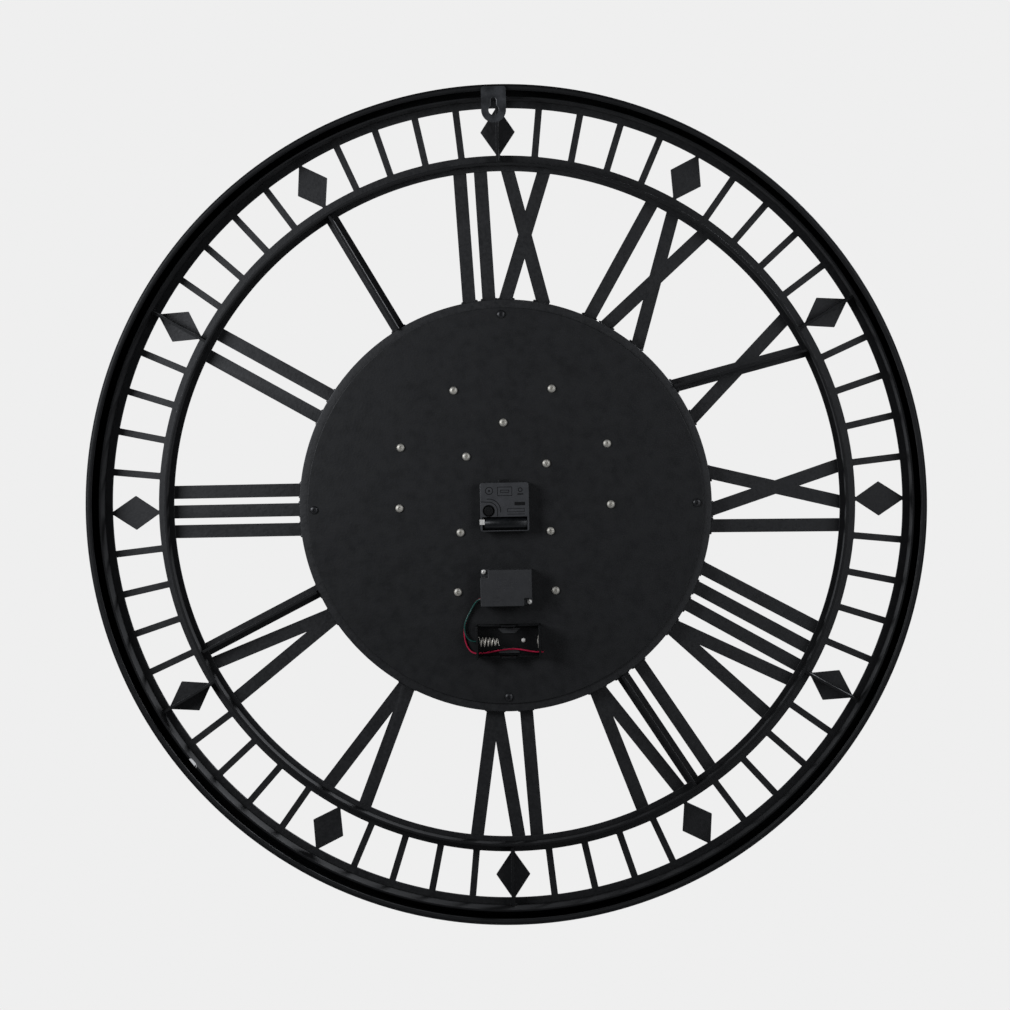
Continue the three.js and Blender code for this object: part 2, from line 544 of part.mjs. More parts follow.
// A rectangle with square notches in its upper right and lower left corners, where the screws sit.
function notched(width, height) {
  const [x, y, n] = [width / 2, height / 2, MOTOR.notch];
  const corners = [[-x, y], [x - n, y], [x - n, y - n], [x, y - n], [x, -y], [-x + n, -y], [-x + n, -y + n],
    [-x, -y + n]];
  return corners.map(([px, py]) => new THREE.Vector2(px, py));
}

function wireHole(x, y, z, length) {
  return rod(WIRE_HOLE / 2, -length / 2, length).rotateY(Math.PI / 2).translate(x, y, z);
}

function motorCase() {
  const body = plate(notched(MOTOR.width, MOTOR.height), [], motorBack, MOTOR.depth);
  const ears = box(MOTOR.width, MOTOR.height, headZ - MOTOR.ear, MOTOR.ear);
  const room = plate(notched(MOTOR.width - 2 * MOTOR.wall, MOTOR.height - 2 * MOTOR.wall), [], motorBack - 1,
    MOTOR.depth - MOTOR.ear + 1);
  const holes = motorScrews.map(([x, y]) => rod(MOTOR_SCREW.shank / 2 + GAP, motorBack, MOTOR.depth + 1)
    .translate(x, y - DRIVE_Y, 0));
  const shaft = rod(boreRadius(MOTOR_SHAFT / 2), motorBack, MOTOR.depth + 1);
  const exits = [GREEN_ROUTE[0], RED_ROUTE[0]].map(([, y, z]) =>
    wireHole(MOTOR.width / 2, y - DRIVE_Y, z, 8));
  return cut(join(body, ears), room, shaft, ...holes, ...exits).translate(0, DRIVE_Y, 0);
}

function motorCover() {
  return plate(notched(MOTOR.width, MOTOR.height), [], motorBack - GAP - MOTOR.lid, MOTOR.lid)
    .translate(0, DRIVE_Y, 0);
}

function motorCan() {
  const room = MOTOR.height / 2 - MOTOR.wall - GAP - MOTOR_CAN.diameter / 2;
  return rod(MOTOR_CAN.diameter / 2, -MOTOR_CAN.length / 2, MOTOR_CAN.length).rotateY(Math.PI / 2)
    .translate(0, DRIVE_Y + room, motorBack + (MOTOR.depth - MOTOR.ear) / 2);
}

const trayBack = headZ - TRAY.depth;
const trayInside = TRAY.width - 2 * TRAY.wall;

function batteryTray() {
  const outer = box(TRAY.width, TRAY.height, trayBack, TRAY.depth);
  const inside = box(trayInside, TRAY.height - 2 * TRAY.wall, trayBack - 1, TRAY.depth - TRAY.wall + 1);
  const openWidth = (trayInside - SADDLE.width) / 2;
  const low = [-1, 1].map((side) => box(openWidth, TRAY.height + 2, trayBack - 1, TRAY.depth - TRAY.rise + 1)
    .translate((side * (SADDLE.width + openWidth)) / 2, 0, 0));
  const overSaddle = box(SADDLE.width + 1, TRAY.height + 2, trayBack - 1, TRAY.depth - SADDLE.rise + 1);
  const [greenEnd] = GREEN_ROUTE.slice(-1);
  const redEntry = RED_ROUTE[RED_ENTRY];
  const [redEnd] = RED_ROUTE.slice(-1);
  const holes = [[1, greenEnd], [1, redEntry], [-1, redEnd]].map(([side, [, y, z]]) =>
    wireHole((side * (TRAY.width - TRAY.wall)) / 2, y - TRAY.y, z, 4));
  return cut(outer, inside, ...low, overSaddle, ...holes).translate(TRAY.x, TRAY.y, 0);
}

// A line of round section along a curve.
function tube(curve, r, steps, sides) {
  const section = new THREE.Shape(circle(r, sides));
  return new THREE.ExtrudeGeometry(section, { steps, extrudePath: curve, curveSegments: 1 });
}

class SpringCurve extends THREE.Curve {
  getPoint(t, target = new THREE.Vector3()) {
    const turn = 2 * Math.PI * SPRING.turns * t;
    const r = THREE.MathUtils.lerp(SPRING.base, SPRING.tip, t) - SPRING.wire / 2;
    return target.set(-SPRING.length * t, r * Math.cos(turn), r * Math.sin(turn));
  }
}

function coilSpring() {
  const base = TRAY.x + trayInside / 2 - GAP - SPRING.wire / 2;
  return tube(new SpringCurve(), SPRING.wire / 2, Math.round(SPRING.turns * 8), 5)
    .translate(base, TRAY.y, SPRING.z);
}

function positiveContact() {
  const plateX = TRAY.x - trayInside / 2 + GAP + CONTACT.sheet / 2;
  const leaf = new THREE.BoxGeometry(CONTACT.sheet, CONTACT.width, CONTACT.height);
  const dimple = turned([[0, 0], [4, 0], [2.5, 1.4], [0, 1.4]]).rotateY(Math.PI / 2);
  return join(leaf, dimple).translate(plateX, TRAY.y, SPRING.z);
}

function lead(route) {
  const curve = new THREE.CatmullRomCurve3(route.map((p) => new THREE.Vector3(...p)), false, "centripetal");
  return tube(curve, WIRE / 2, Math.round(curve.getLength() / (3 * WIRE)), 8);
}

// ---------------------------------------------------------------- assembly
const clock = new THREE.Group();
const face = new THREE.Group();
face.rotation.x = Math.PI / 2;
clock.add(face);

function add(name, geometry, finish, x = 0, y = 0, z = 0) {
  const mesh = new THREE.Mesh(geometry, new THREE.MeshStandardMaterial(COLOURS[finish]));
  mesh.name = name;
  mesh.position.set(x, y, z);
  face.add(mesh);
}

add("rim", rim(), "black_powder_coat");
add("minute_track", minuteTrack(), "black_powder_coat");
add("chapter_frame", chapterFrame(), "black_powder_coat");
add("drum_hoop", drumHoop(), "black_powder_coat");
for (let hour = 1; hour <= HOURS; hour += 1) {
  add(`numeral_${String(hour).padStart(2, "0")}`, numeral(hour), "black_powder_coat");
}
add("hanger", hanger(), "black_powder_coat");
add("back_disc", backDisc(), "black_powder_coat");
discScrewAngles.forEach((angle, i) => {
  const { x, y } = point(DISC_SCREW.circle, angle);
  const { head, height, shank, length } = DISC_SCREW;
  add(`disc_screw_${i + 1}`, panScrew(head, height, shank, length), "black_screw", x, y, headZ);
});
gearPosts.forEach(([x, y], i) => add(`gear_post_${i + 1}`, post(gearZ, GEAR_SHEET), "zinc", x, y));
ringPosts.forEach(([x, y], i) => add(`ring_post_${i + 1}`, post(ringZ, COG_RING.sheet), "zinc", x, y));
add("cog_ring", cogRing(), "black_powder_coat", 0, COG_RING.y);
for (const [, name] of MESHES) {
  add(`gear_${name}`, gear(name), "brass", ...gearPlaces[name].toArray(), gearZ);
}
add("drive_gear", driveGear(), "brass", ...gearPlaces.drive.toArray(), gearZ);
add("movement_case", movementCase(), "black_plastic");
add("movement_cover", movementCover(), "black_plastic");
add("movement_cell", movementCell(), "cell_wrap");
add("set_knob", setKnob(), "black_plastic", KNOB.x, KNOB.y);
add("movement_nut", movementNut(), "brass");
add("hour_hand", hourHand(), "black_powder_coat", 0, 0, hourHandZ);
add("minute_hand", minuteHand(), "black_powder_coat", 0, 0, minuteHandZ);
add("hand_cap", handCap(), "black_screw");
add("motor_case", motorCase(), "black_plastic");
add("motor_cover", motorCover(), "black_plastic");
motorScrews.forEach(([x, y], i) => add(`motor_screw_${i + 1}`,
  panScrew(MOTOR_SCREW.head, MOTOR_SCREW.height, MOTOR_SCREW.shank, MOTOR.ear + PLATE + 2),
  "zinc", x, y, headZ - MOTOR.ear - GAP));
add("motor_can", motorCan(), "zinc");
add("battery_tray", batteryTray(), "black_plastic");
add("coil_spring", coilSpring(), "zinc");
add("positive_contact", positiveContact(), "zinc");
add("wire_green", lead(GREEN_ROUTE), "green_lead");
add("wire_red", lead(RED_ROUTE), "red_lead");

export default clock;
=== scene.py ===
import json
import math
import random

import bmesh
import bpy
from mathutils import Matrix, Vector


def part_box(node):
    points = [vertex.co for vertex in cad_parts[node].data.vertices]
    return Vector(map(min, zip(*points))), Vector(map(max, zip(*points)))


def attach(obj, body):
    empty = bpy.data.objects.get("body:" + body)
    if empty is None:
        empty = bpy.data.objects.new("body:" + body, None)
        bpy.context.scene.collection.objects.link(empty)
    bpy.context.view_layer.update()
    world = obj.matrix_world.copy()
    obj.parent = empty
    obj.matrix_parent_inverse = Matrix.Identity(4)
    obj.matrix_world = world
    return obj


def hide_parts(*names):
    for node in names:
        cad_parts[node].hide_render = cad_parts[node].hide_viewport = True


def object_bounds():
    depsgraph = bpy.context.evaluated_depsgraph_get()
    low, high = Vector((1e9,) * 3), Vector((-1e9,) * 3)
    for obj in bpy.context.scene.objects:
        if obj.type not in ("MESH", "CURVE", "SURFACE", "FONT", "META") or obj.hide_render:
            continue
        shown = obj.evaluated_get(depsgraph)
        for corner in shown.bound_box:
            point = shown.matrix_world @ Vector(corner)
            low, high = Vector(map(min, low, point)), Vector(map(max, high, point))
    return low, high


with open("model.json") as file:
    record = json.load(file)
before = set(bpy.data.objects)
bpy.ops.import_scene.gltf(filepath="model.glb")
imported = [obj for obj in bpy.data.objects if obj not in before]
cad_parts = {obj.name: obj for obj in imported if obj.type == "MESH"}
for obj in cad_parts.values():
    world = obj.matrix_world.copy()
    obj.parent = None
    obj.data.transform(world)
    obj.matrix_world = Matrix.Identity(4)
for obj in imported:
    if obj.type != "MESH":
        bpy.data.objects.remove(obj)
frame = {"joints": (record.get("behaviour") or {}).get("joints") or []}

# Large skeleton wall clock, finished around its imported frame. Shapes are drawn in the face's own axes, in
# millimetres: x to the right seen from the front, y up, z the distance from the wall.
CAD_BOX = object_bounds()
MM = 0.001
FACE = Matrix.Rotation(math.radians(90), 4, "X") @ Matrix.Scale(MM, 4)
HOURS = 12
BARS_PER_HOUR = 5
random.seed(12)


# ---------------------------------------------------------------- the frame, in face axes
def face_box(node):
    """Lowest and highest corner of a CAD node."""
    low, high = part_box(node)
    return Vector((low.x, low.z, -high.y)) / MM, Vector((high.x, high.z, -low.y)) / MM


def middle(node):
    low, high = face_box(node)
    return (low + high) / 2


def row_point(x, y, z):
    """A point given in face axes, in the row's frame."""
    return FACE @ Vector((x, y, z))


# ---------------------------------------------------------------- camera, backdrop and lights
CAMERA = {
    "distance": 3.06, "side": 2.11, "rise": 2.82, "roll": -1.22,  # metres, then degrees
    "lens": 95.86, "sensor": 36, "shift": (0.0012, 0.003),
}
LIGHTS = {  # place and size in metres, power in watts
    "left": ((0.92, 0.75, 0.36), 0.5, 9.0),
    "right": ((-0.98, 1.0, 0.5), 0.7, 5.1),
    "low": ((-1.3, 1.5, -0.5), 1.0, 3.9),
    "front_key": ((-1.9, -2.4, 2.0), 1.6, 85),
    "front_fill": ((2.4, -2.2, 0.2), 1.8, 30),
}
LIGHT_COLOUR = (0.95, 0.98, 1.04)
BACKDROP, SOFT_LIGHT = (0.863, 0.863, 0.863), (0.03, 0.03, 0.032)
FLOOR_DROP, FLOOR_R, FLOOR_DEPTH = 1.9, 5.5, 0.02


def make_camera():
    data = bpy.data.cameras.new("camera")
    data.lens, data.sensor_width = CAMERA["lens"], CAMERA["sensor"]
    data.shift_x, data.shift_y = CAMERA["shift"]
    side, rise = math.radians(CAMERA["side"]), math.radians(CAMERA["rise"])
    way = Vector((-math.tan(side), 1, math.tan(rise))).normalized()
    turn = way.to_track_quat("Z", "Y").to_matrix() @ Matrix.Rotation(math.radians(CAMERA["roll"]), 3, "Z")
    camera = linked("camera", data)
    camera.location = way * CAMERA["distance"]
    camera.rotation_euler = turn.to_euler()
    bpy.context.scene.camera = camera


def make_lights():
    """Soft square lights, all aimed at the middle of the clock."""
    for name, (place, size, power) in LIGHTS.items():
        data = bpy.data.lights.new(name, "AREA")
        data.size, data.energy, data.color = size, power, LIGHT_COLOUR
        light = linked(name, data)
        light.location = place
        light.rotation_euler = Vector(place).to_track_quat("Z", "Y").to_euler()


def make_world():
    """A pale backdrop that the camera sees as it is, and that lights the clock more gently."""
    world = bpy.data.worlds.new("studio")
    world.use_nodes = True
    bpy.context.scene.world = world
    nodes, links = world.node_tree.nodes, world.node_tree.links
    seen = nodes["Background"]
    seen.inputs["Color"].default_value = (*BACKDROP, 1)
    soft = nodes.new("ShaderNodeBackground")
    soft.inputs["Color"].default_value = (*SOFT_LIGHT, 1)
    ray = nodes.new("ShaderNodeLightPath")
    mix = nodes.new("ShaderNodeMixShader")
    links.new(ray.outputs["Is Camera Ray"], mix.inputs[0])
    links.new(soft.outputs[0], mix.inputs[1])
    links.new(seen.outputs[0], mix.inputs[2])
    links.new(mix.outputs[0], nodes["World Output"].inputs["Surface"])


def make_floor():
    """A round floor far below the clock, which hangs on a wall that isn't drawn."""
    mesh = turned([(0, 0), (FLOOR_R, 0), (FLOOR_R, -FLOOR_DEPTH), (0, -FLOOR_DEPTH)], 128)
    mesh.materials.append(FINISHES["floor"])
    floor = linked("floor", mesh)
    floor.location.z = CAD_BOX[0].z - FLOOR_DROP


# ---------------------------------------------------------------- finishes
def noise(nodes, links, place, scale, detail):
    texture = nodes.new("ShaderNodeTexNoise")
    texture.inputs["Scale"].default_value = scale
    texture.inputs["Detail"].default_value = detail
    links.new(place, texture.inputs["Vector"])
    return texture.outputs["Fac"]


def spread(nodes, links, value, low, high, inputs=(0.3, 0.7)):
    """The value between the two inputs mapped to low..high."""
    span = nodes.new("ShaderNodeMapRange")
    span.inputs["From Min"].default_value, span.inputs["From Max"].default_value = inputs
    span.inputs["To Min"].default_value, span.inputs["To Max"].default_value = low, high
    links.new(value, span.inputs["Value"])
    return span.outputs[0]


def mixed(nodes, links, share, first, second):
    """Colours mixed by a share; each is a socket or three numbers."""
    mix = nodes.new("ShaderNodeMix")
    mix.data_type = "RGBA"
    links.new(share, mix.inputs[0])
    for socket, colour in ((mix.inputs[6], first), (mix.inputs[7], second)):
        if isinstance(colour, tuple):
            socket.default_value = (*colour, 1)
        else:
            links.new(colour, socket)
    return mix.outputs[2]


def chipped(nodes, links, place, colour, where, radius):
    """The colour with a ragged patch of pale primer about a point of the row's frame."""
    distance = nodes.new("ShaderNodeVectorMath")
    distance.operation = "DISTANCE"
    distance.inputs[1].default_value = where
    links.new(place, distance.inputs[0])
    ragged = nodes.new("ShaderNodeMath")
    ragged.operation = "MULTIPLY_ADD"
    links.new(noise(nodes, links, place, 420, 3), ragged.inputs[0])
    ragged.inputs[1].default_value = radius * 1.6
    links.new(distance.outputs["Value"], ragged.inputs[2])
    bare = spread(nodes, links, ragged.outputs[0], 1, 0, (radius * 1.55, radius * 1.65))
    return mixed(nodes, links, bare, colour, PRIMER)


def grained(nodes, links, place, layers):
    """A normal bumped by each layer in turn, given as features per metre and height in metres."""
    normal = None
    for scale, height in layers:
        bump = nodes.new("ShaderNodeBump")
        bump.inputs["Distance"].default_value = height
        links.new(noise(nodes, links, place, scale, 2), bump.inputs["Height"])
        if normal:
            links.new(normal, bump.inputs["Normal"])
        normal = bump.outputs[0]
    return normal


def surface(name, dark, light, roughness, grain, cloud=45.0, metallic=0.0, chip=None, ior=1.5):
    """A finish whose colour clouds from dark to light, with streaks of roughness from low to high."""
    material = bpy.data.materials.new(name)
    material.use_nodes = True
    nodes, links = material.node_tree.nodes, material.node_tree.links
    shader, place = nodes["Principled BSDF"], nodes.new("ShaderNodeTexCoord").outputs["Object"]
    shader.inputs["Metallic"].default_value = metallic
    shader.inputs["IOR"].default_value = ior
    clouds = spread(nodes, links, noise(nodes, links, place, cloud, 4), 0, 1)
    colour = mixed(nodes, links, clouds, dark, light)
    if chip:
        colour = chipped(nodes, links, place, colour, *chip)
    links.new(colour, shader.inputs["Base Color"])
    streaks = spread(nodes, links, noise(nodes, links, place, cloud * 6, 3), *roughness)
    links.new(streaks, shader.inputs["Roughness"])
    links.new(grained(nodes, links, place, grain), shader.inputs["Normal"])
    return material


PEEL = [(330, 0.00012), (1500, 0.00004)]  # powder coat: orange peel under a fine texture
MOULDED = [(2600, 0.00004), (240, 0.00004)]
PRIMER = (0.86, 0.85, 0.83)
CHIP = (0.3668, -0.0195, -0.2888), 0.0062  # place and radius in metres
SPECS = {
    "powder_coat": {
        "slot": "black_powder_coat", "dark": (0.0085, 0.0087, 0.0092), "light": (0.0135, 0.0138, 0.0145),
        "roughness": (0.40, 0.55), "grain": PEEL},
    # A darker copy of the black powder coat for the rim, hoops and ribs: its darker colour paints the shade
    # in the rim's hollow and behind the plates; the pale patch at CHIP is real chipped paint.
    "shade_darkened_coat": {
        "slot": "black_powder_coat", "dark": (0.0044, 0.0046, 0.0049), "light": (0.0068, 0.0070, 0.0074),
        "roughness": (0.50, 0.64), "grain": PEEL, "chip": CHIP, "ior": 1.34},
    "disc_coat": {
        "slot": "black_powder_coat", "dark": (0.0050, 0.0053, 0.0057), "light": (0.0066, 0.0069, 0.0074),
        "roughness": (0.46, 0.60), "grain": [(24, 0.0004), *PEEL], "cloud": 14, "ior": 1.45},
    "worn_coat": {
        "slot": "black_powder_coat", "dark": (0.013, 0.014, 0.015), "light": (0.05, 0.052, 0.055),
        "roughness": (0.26, 0.48), "grain": [(170, 0.0003), (900, 0.00008)], "cloud": 90},
    "black_oxide": {
        "slot": "black_screw", "dark": (0.006, 0.006, 0.007), "light": (0.014, 0.014, 0.015),
        "roughness": (0.30, 0.45), "grain": [(1200, 0.00005)], "cloud": 300},
    "zinc_plate": {
        "slot": "zinc", "dark": (0.42, 0.40, 0.35), "light": (0.62, 0.60, 0.54),
        "roughness": (0.46, 0.62), "grain": [(1400, 0.00003)], "cloud": 350, "metallic": 0.8},
    # A near-white, barely metallic copy of the zinc: its pale colour paints the glint on the motor screws,
    # the cell's clip and the tray's rivet.
    "highlight_painted_tin": {
        "slot": "zinc", "dark": (0.78, 0.76, 0.70), "light": (0.92, 0.90, 0.85),
        "roughness": (0.34, 0.5), "grain": [(1400, 0.00003)], "cloud": 350, "metallic": 0.35},
    "spring_steel": {
        "slot": "zinc", "dark": (0.70, 0.66, 0.58), "light": (0.88, 0.84, 0.76),
        "roughness": (0.34, 0.48), "grain": [(1800, 0.00002)], "cloud": 500, "metallic": 0.6},
    "antique_brass": {
        "slot": "antique_brass", "dark": (0.19, 0.115, 0.042), "light": (0.50, 0.34, 0.15),
        "roughness": (0.26, 0.46), "grain": [(420, 0.00006), (1700, 0.00003)], "cloud": 38, "metallic": 1.0},
    "movement_plastic": {
        "slot": "black_plastic", "dark": (0.034, 0.035, 0.037), "light": (0.046, 0.047, 0.050),
        "roughness": (0.44, 0.55), "grain": MOULDED, "cloud": 120},
    # Black plastic made darker still: its colour paints the shade in the battery tray, in the knob's recess
    # and along the cover's moulded marks.
    "shade_darkened_black_plastic": {
        "slot": "black_plastic", "dark": (0.0025, 0.0026, 0.0028), "light": (0.0045, 0.0047, 0.005),
        "roughness": (0.42, 0.56), "grain": MOULDED, "cloud": 120, "ior": 1.33},
    "motor_plastic": {
        "slot": "black_plastic", "dark": (0.0215, 0.022, 0.0232), "light": (0.029, 0.0295, 0.031),
        "roughness": (0.48, 0.6), "grain": MOULDED, "cloud": 120},
    "cell_wrap": {
        "slot": "cell_wrap", "dark": (0.003, 0.0036, 0.0042), "light": (0.007, 0.0078, 0.0088),
        "roughness": (0.28, 0.4), "grain": [(260, 0.00005)], "cloud": 70},
    "red_insulation": {
        "slot": "red_lead", "dark": (0.42, 0.010, 0.045), "light": (0.60, 0.020, 0.075),
        "roughness": (0.28, 0.4), "grain": [(700, 0.00003)], "cloud": 160},
    "green_insulation": {
        "slot": "green_lead", "dark": (0.004, 0.050, 0.040), "light": (0.008, 0.085, 0.068),
        "roughness": (0.28, 0.4), "grain": [(700, 0.00003)], "cloud": 160},
    "floor": {
        "slot": None, "dark": (0.80, 0.80, 0.80), "light": (0.84, 0.84, 0.84),
        "roughness": (0.75, 0.9), "grain": [(60, 0.0004)], "cloud": 1.5},
}
SLOTS = {name: spec.pop("slot") for name, spec in SPECS.items()}
FINISHES = {name: surface(name, **spec) for name, spec in SPECS.items()}


# ---------------------------------------------------------------- shapes
def mesh_of(bm):
    bmesh.ops.recalc_face_normals(bm, faces=bm.faces)
    mesh = bpy.data.meshes.new("mesh")
    bm.to_mesh(mesh)
    bm.free()
    return mesh


def edited(mesh):
    bm = bmesh.new()
    bm.from_mesh(mesh)
    return bm


def moved(mesh, x=0.0, y=0.0, z=0.0, turn=0.0):
    """A copy turned clockwise about the z axis, in radians, and then moved."""
    copy = mesh.copy()
    copy.transform(Matrix.Translation((x, y, z)) @ Matrix.Rotation(-turn, 4, "Z"))
    return copy


def laid(mesh, x, y, z):
    """A shape turned about the z axis, laid along +x and moved."""
    mesh.transform(Matrix.Translation((x, y, z)) @ Matrix.Rotation(math.pi / 2, 4, "Y"))
    return mesh


def together(*meshes):
    bm = bmesh.new()
    for mesh in meshes:
        bm.from_mesh(mesh)
    return mesh_of(bm)


def turned(profile, segments=48):
    """A [radius, z] profile turned about the z axis. It closes on itself unless it starts on the axis."""
    bm = bmesh.new()
    rings = []
    for radius, z in profile:
        count = segments if radius > 1e-6 else 1
        angles = [2 * math.pi * i / segments for i in range(count)]
        rings.append([bm.verts.new((radius * math.sin(a), radius * math.cos(a), z)) for a in angles])
    last = [] if profile[0][0] <= 1e-6 else [(rings[-1], rings[0])]
    for near, far in [*zip(rings, rings[1:]), *last]:
        for i in range(segments):
            j = i + 1
            corners = [near[i % len(near)], near[j % len(near)], far[j % len(far)], far[i % len(far)]]
            bm.faces.new(dict.fromkeys(corners))
    return mesh_of(bm)


def eased(points, radius, closed=True, steps=3, least=25):
    """An outline or profile with each corner sharper than the least angle rounded."""
    points = [Vector(p) for p in points]
    rounded = []
    for i, corner in enumerate(points):
        ahead = points[(i + 1) % len(points)] - corner
        behind = points[i - 1] - corner
        turn = math.pi - behind.angle(ahead)
        if turn < math.radians(least) or (not closed and i in (0, len(points) - 1)):
            rounded.append(corner)
            continue
        reach = min(radius * math.tan(turn / 2), 0.45 * behind.length, 0.45 * ahead.length)
        start, end = corner + behind.normalized() * reach, corner + ahead.normalized() * reach
        for step in range(steps + 1):
            t = step / steps
            rounded.append((1 - t) ** 2 * start + 2 * t * (1 - t) * corner + t ** 2 * end)
    return rounded


def ring(bore, radius, z, thickness, edge=0.3, segments=288):
    profile = [(bore, z), (radius, z), (radius, z + thickness), (bore, z + thickness)]
    return turned(eased(profile, edge), segments)


def rod(radius, z, length, edge=0.2, segments=32):
    profile = [(0, z), (radius, z), (radius, z + length), (0, z + length)]
    return turned(eased(profile, edge, closed=False), segments)


def point(radius, angle):
    """A point at a radius and an angle clockwise from 12."""
    return Vector((radius * math.sin(angle), radius * math.cos(angle)))


def arc(radius, start, end, steps):
    return [point(radius, start + (end - start) * i / steps) for i in range(steps + 1)]


def circle(radius, steps=24, x=0.0, y=0.0):
    return [p + Vector((x, y)) for p in arc(radius, 0, 2 * math.pi, steps)[:-1]]


def linked(name, data):
    thing = bpy.data.objects.new(name, data)
    bpy.context.scene.collection.objects.link(thing)
    return thing


def evaluated(thing):
    """The final mesh of an object made only to be shaped; the object goes."""
    bpy.context.view_layer.update()
    mesh = bpy.data.meshes.new_from_object(thing.evaluated_get(bpy.context.evaluated_depsgraph_get()))
    bpy.data.objects.remove(thing)
    mesh.materials.clear()
    return mesh


def plate(outlines, z, thickness, edge=0.3):
    """A flat plate with eased edges. The first outline is its rim and the others are its holes."""
    curve = bpy.data.curves.new("outline", "CURVE")
    curve.dimensions, curve.fill_mode, curve.bevel_resolution = "2D", "BOTH", 1
    curve.extrude, curve.bevel_depth, curve.offset = thickness / 2 - edge, edge, -edge
    for outline in outlines:
        spline = curve.splines.new("POLY")
        spline.points.add(len(outline) - 1)
        for knot, (x, y) in zip(spline.points, outline):
            knot.co = (x, y, 0, 1)
        spline.use_cyclic_u = True
    bm = edited(evaluated(linked("outline", curve)))
    bmesh.ops.remove_doubles(bm, verts=bm.verts, dist=1e-3)
    bmesh.ops.translate(bm, verts=bm.verts, vec=(0, 0, z + thickness / 2))
    return mesh_of(bm)


def block(low, high, edge=0.4, taper=0.0):
    """A box with eased edges. A taper draws its far end in by that much on each side in x."""
    bm = bmesh.new()
    bmesh.ops.create_cube(bm, size=1)
    size = Vector(high) - Vector(low)
    for vert in bm.verts:
        vert.co = Vector(low) + Vector(((vert.co[i] + 0.5) * size[i] for i in range(3)))
        if vert.co.z > high[2] - 1e-6:
            vert.co.x -= math.copysign(taper, vert.co.x - (low[0] + high[0]) / 2)
    if edge:
        bmesh.ops.bevel(bm, geom=bm.edges[:], offset=edge, segments=2, profile=0.5, affect="EDGES")
    return mesh_of(bm)


def bevelled(mesh, width, segments=2, least=30):
    """The mesh with flat faces made whole and its sharp edges eased."""
    bm = edited(mesh)
    bmesh.ops.remove_doubles(bm, verts=bm.verts, dist=1e-4)
    bmesh.ops.dissolve_limit(bm, angle_limit=math.radians(1), verts=bm.verts, edges=bm.edges)
    sharp = [e for e in bm.edges if e.is_manifold and e.calc_face_angle() > math.radians(least)]
    bmesh.ops.bevel(bm, geom=sharp, offset=width, segments=segments, profile=0.5, affect="EDGES",
                    clamp_overlap=True)
    return mesh_of(bm)


def combined(operation, first, *others):
    """The first mesh with the others joined on, "UNION", or cut away, "DIFFERENCE"."""
    base = linked("base", first)
    tools = [linked("tool", other) for other in others]
    for tool in tools:
        modifier = base.modifiers.new("combine", "BOOLEAN")
        modifier.operation, modifier.solver, modifier.object = operation, "MANIFOLD", tool
    mesh = evaluated(base)
    for tool in tools:
        bpy.data.objects.remove(tool)
    return mesh


FLAT, ROUND, SOFT = 20, 35, 60  # faces that meet at less than this angle are shaded as one


def finished(name, mesh, finish, stands_for=(), body="frame", place=None, turn=0.0, smooth=FLAT):
    """Puts a mesh drawn in face axes into the scene as a piece that rides on a body."""
    if not mesh.materials:
        mesh.transform(FACE)
        mesh.shade_smooth()
        mesh.set_sharp_from_angle(angle=math.radians(smooth))
        mesh.materials.append(FINISHES[finish])
    obj = linked(name, mesh)
    if place is not None:
        obj.location = row_point(*place)
        obj.rotation_euler.y = turn
    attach(obj, body)
    if stands_for:
        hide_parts(*stands_for)
    return obj


# ---------------------------------------------------------------- leads
WIRE = 1.9
GREEN_ROUTE = [
    (26, -106, 31.4), (28.5, -106, 31.4), (31, -106.3, 31.7), (35, -109, 33.5), (39, -114.5, 35.6),
    (43, -121.5, 36.4), (46.8, -129, 36.4), (49.3, -136.5, 36.4), (49.4, -143.5, 36.2), (47.3, -149.5, 35.3),
    (43.5, -153.5, 34.2), (39.5, -155, 33.6), (37, -155.2, 33.5), (34.5, -155.2, 33.5), (32, -155.2, 33.5),
]
RED_ROUTE = [
    (26, -106, 35), (28.5, -106, 35), (31, -106.3, 35.3), (35, -109, 37), (39, -114.5, 38.4),
    (43, -121.5, 38.7), (46.8, -129, 38.7), (49.3, -136.5, 38.7), (50, -144, 38.7), (49.6, -151, 38.6),
    (48, -158, 38), (45, -164, 37), (41, -167.8, 35.8), (37.2, -169, 35.2), (34.5, -169, 35.2),
    (32, -169, 35.2), (27, -168.8, 35.3), (20, -167.8, 35.3), (12, -166.4, 35.3), (4, -165.3, 35.3),
    (-4, -164.8, 35.3), (-12, -165.1, 35.3), (-20, -166.4, 35.3), (-28, -168, 35.2), (-34, -168.6, 35),
    (-37.5, -168.6, 35), (-41, -168.6, 35),
]


def lead(name, route, finish, node):
    """A lead along its route, from the motor case into the cell tray."""
    curve = bpy.data.curves.new(name, "CURVE")
    curve.dimensions, curve.resolution_u = "3D", 8
    curve.bevel_depth, curve.bevel_resolution, curve.use_fill_caps = WIRE * MM / 2, 5, True
    spline = curve.splines.new("BEZIER")
    spline.bezier_points.add(len(route) - 1)
    for knot, place in zip(spline.bezier_points, route):
        knot.co = row_point(*place)
        knot.handle_left_type = knot.handle_right_type = "AUTO"
    curve.materials.append(FINISHES[finish])
    obj = linked(name, curve)
    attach(obj, "frame")
    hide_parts(node)


make_camera()
lead("lead_green", GREEN_ROUTE, "green_insulation", "wire_green")
lead("lead_red", RED_ROUTE, "red_insulation", "wire_red")
make_world()
make_floor()
make_lights()

# ---------------------------------------------------------------- rim, track and chapter frame
rim_low, rim_high = face_box("rim")
RIM_R = rim_high.x
RIM_BACK, RIM_FRONT = rim_low.z, rim_high.z
RIM_WIDTH, RIM_SHEET, RIM_CORNER, BEAD = 22.4, 1.5, 12.0, 7.0
rim_bore = RIM_R - RIM_WIDTH


def swept(r, z, radius, start, end, steps):
    """Profile points on an arc about (r, z), from one angle to another."""
    angles = [start + (end - start) * i / steps for i in range(steps + 1)]
    return [(r + radius * math.cos(a), z + radius * math.sin(a)) for a in angles]


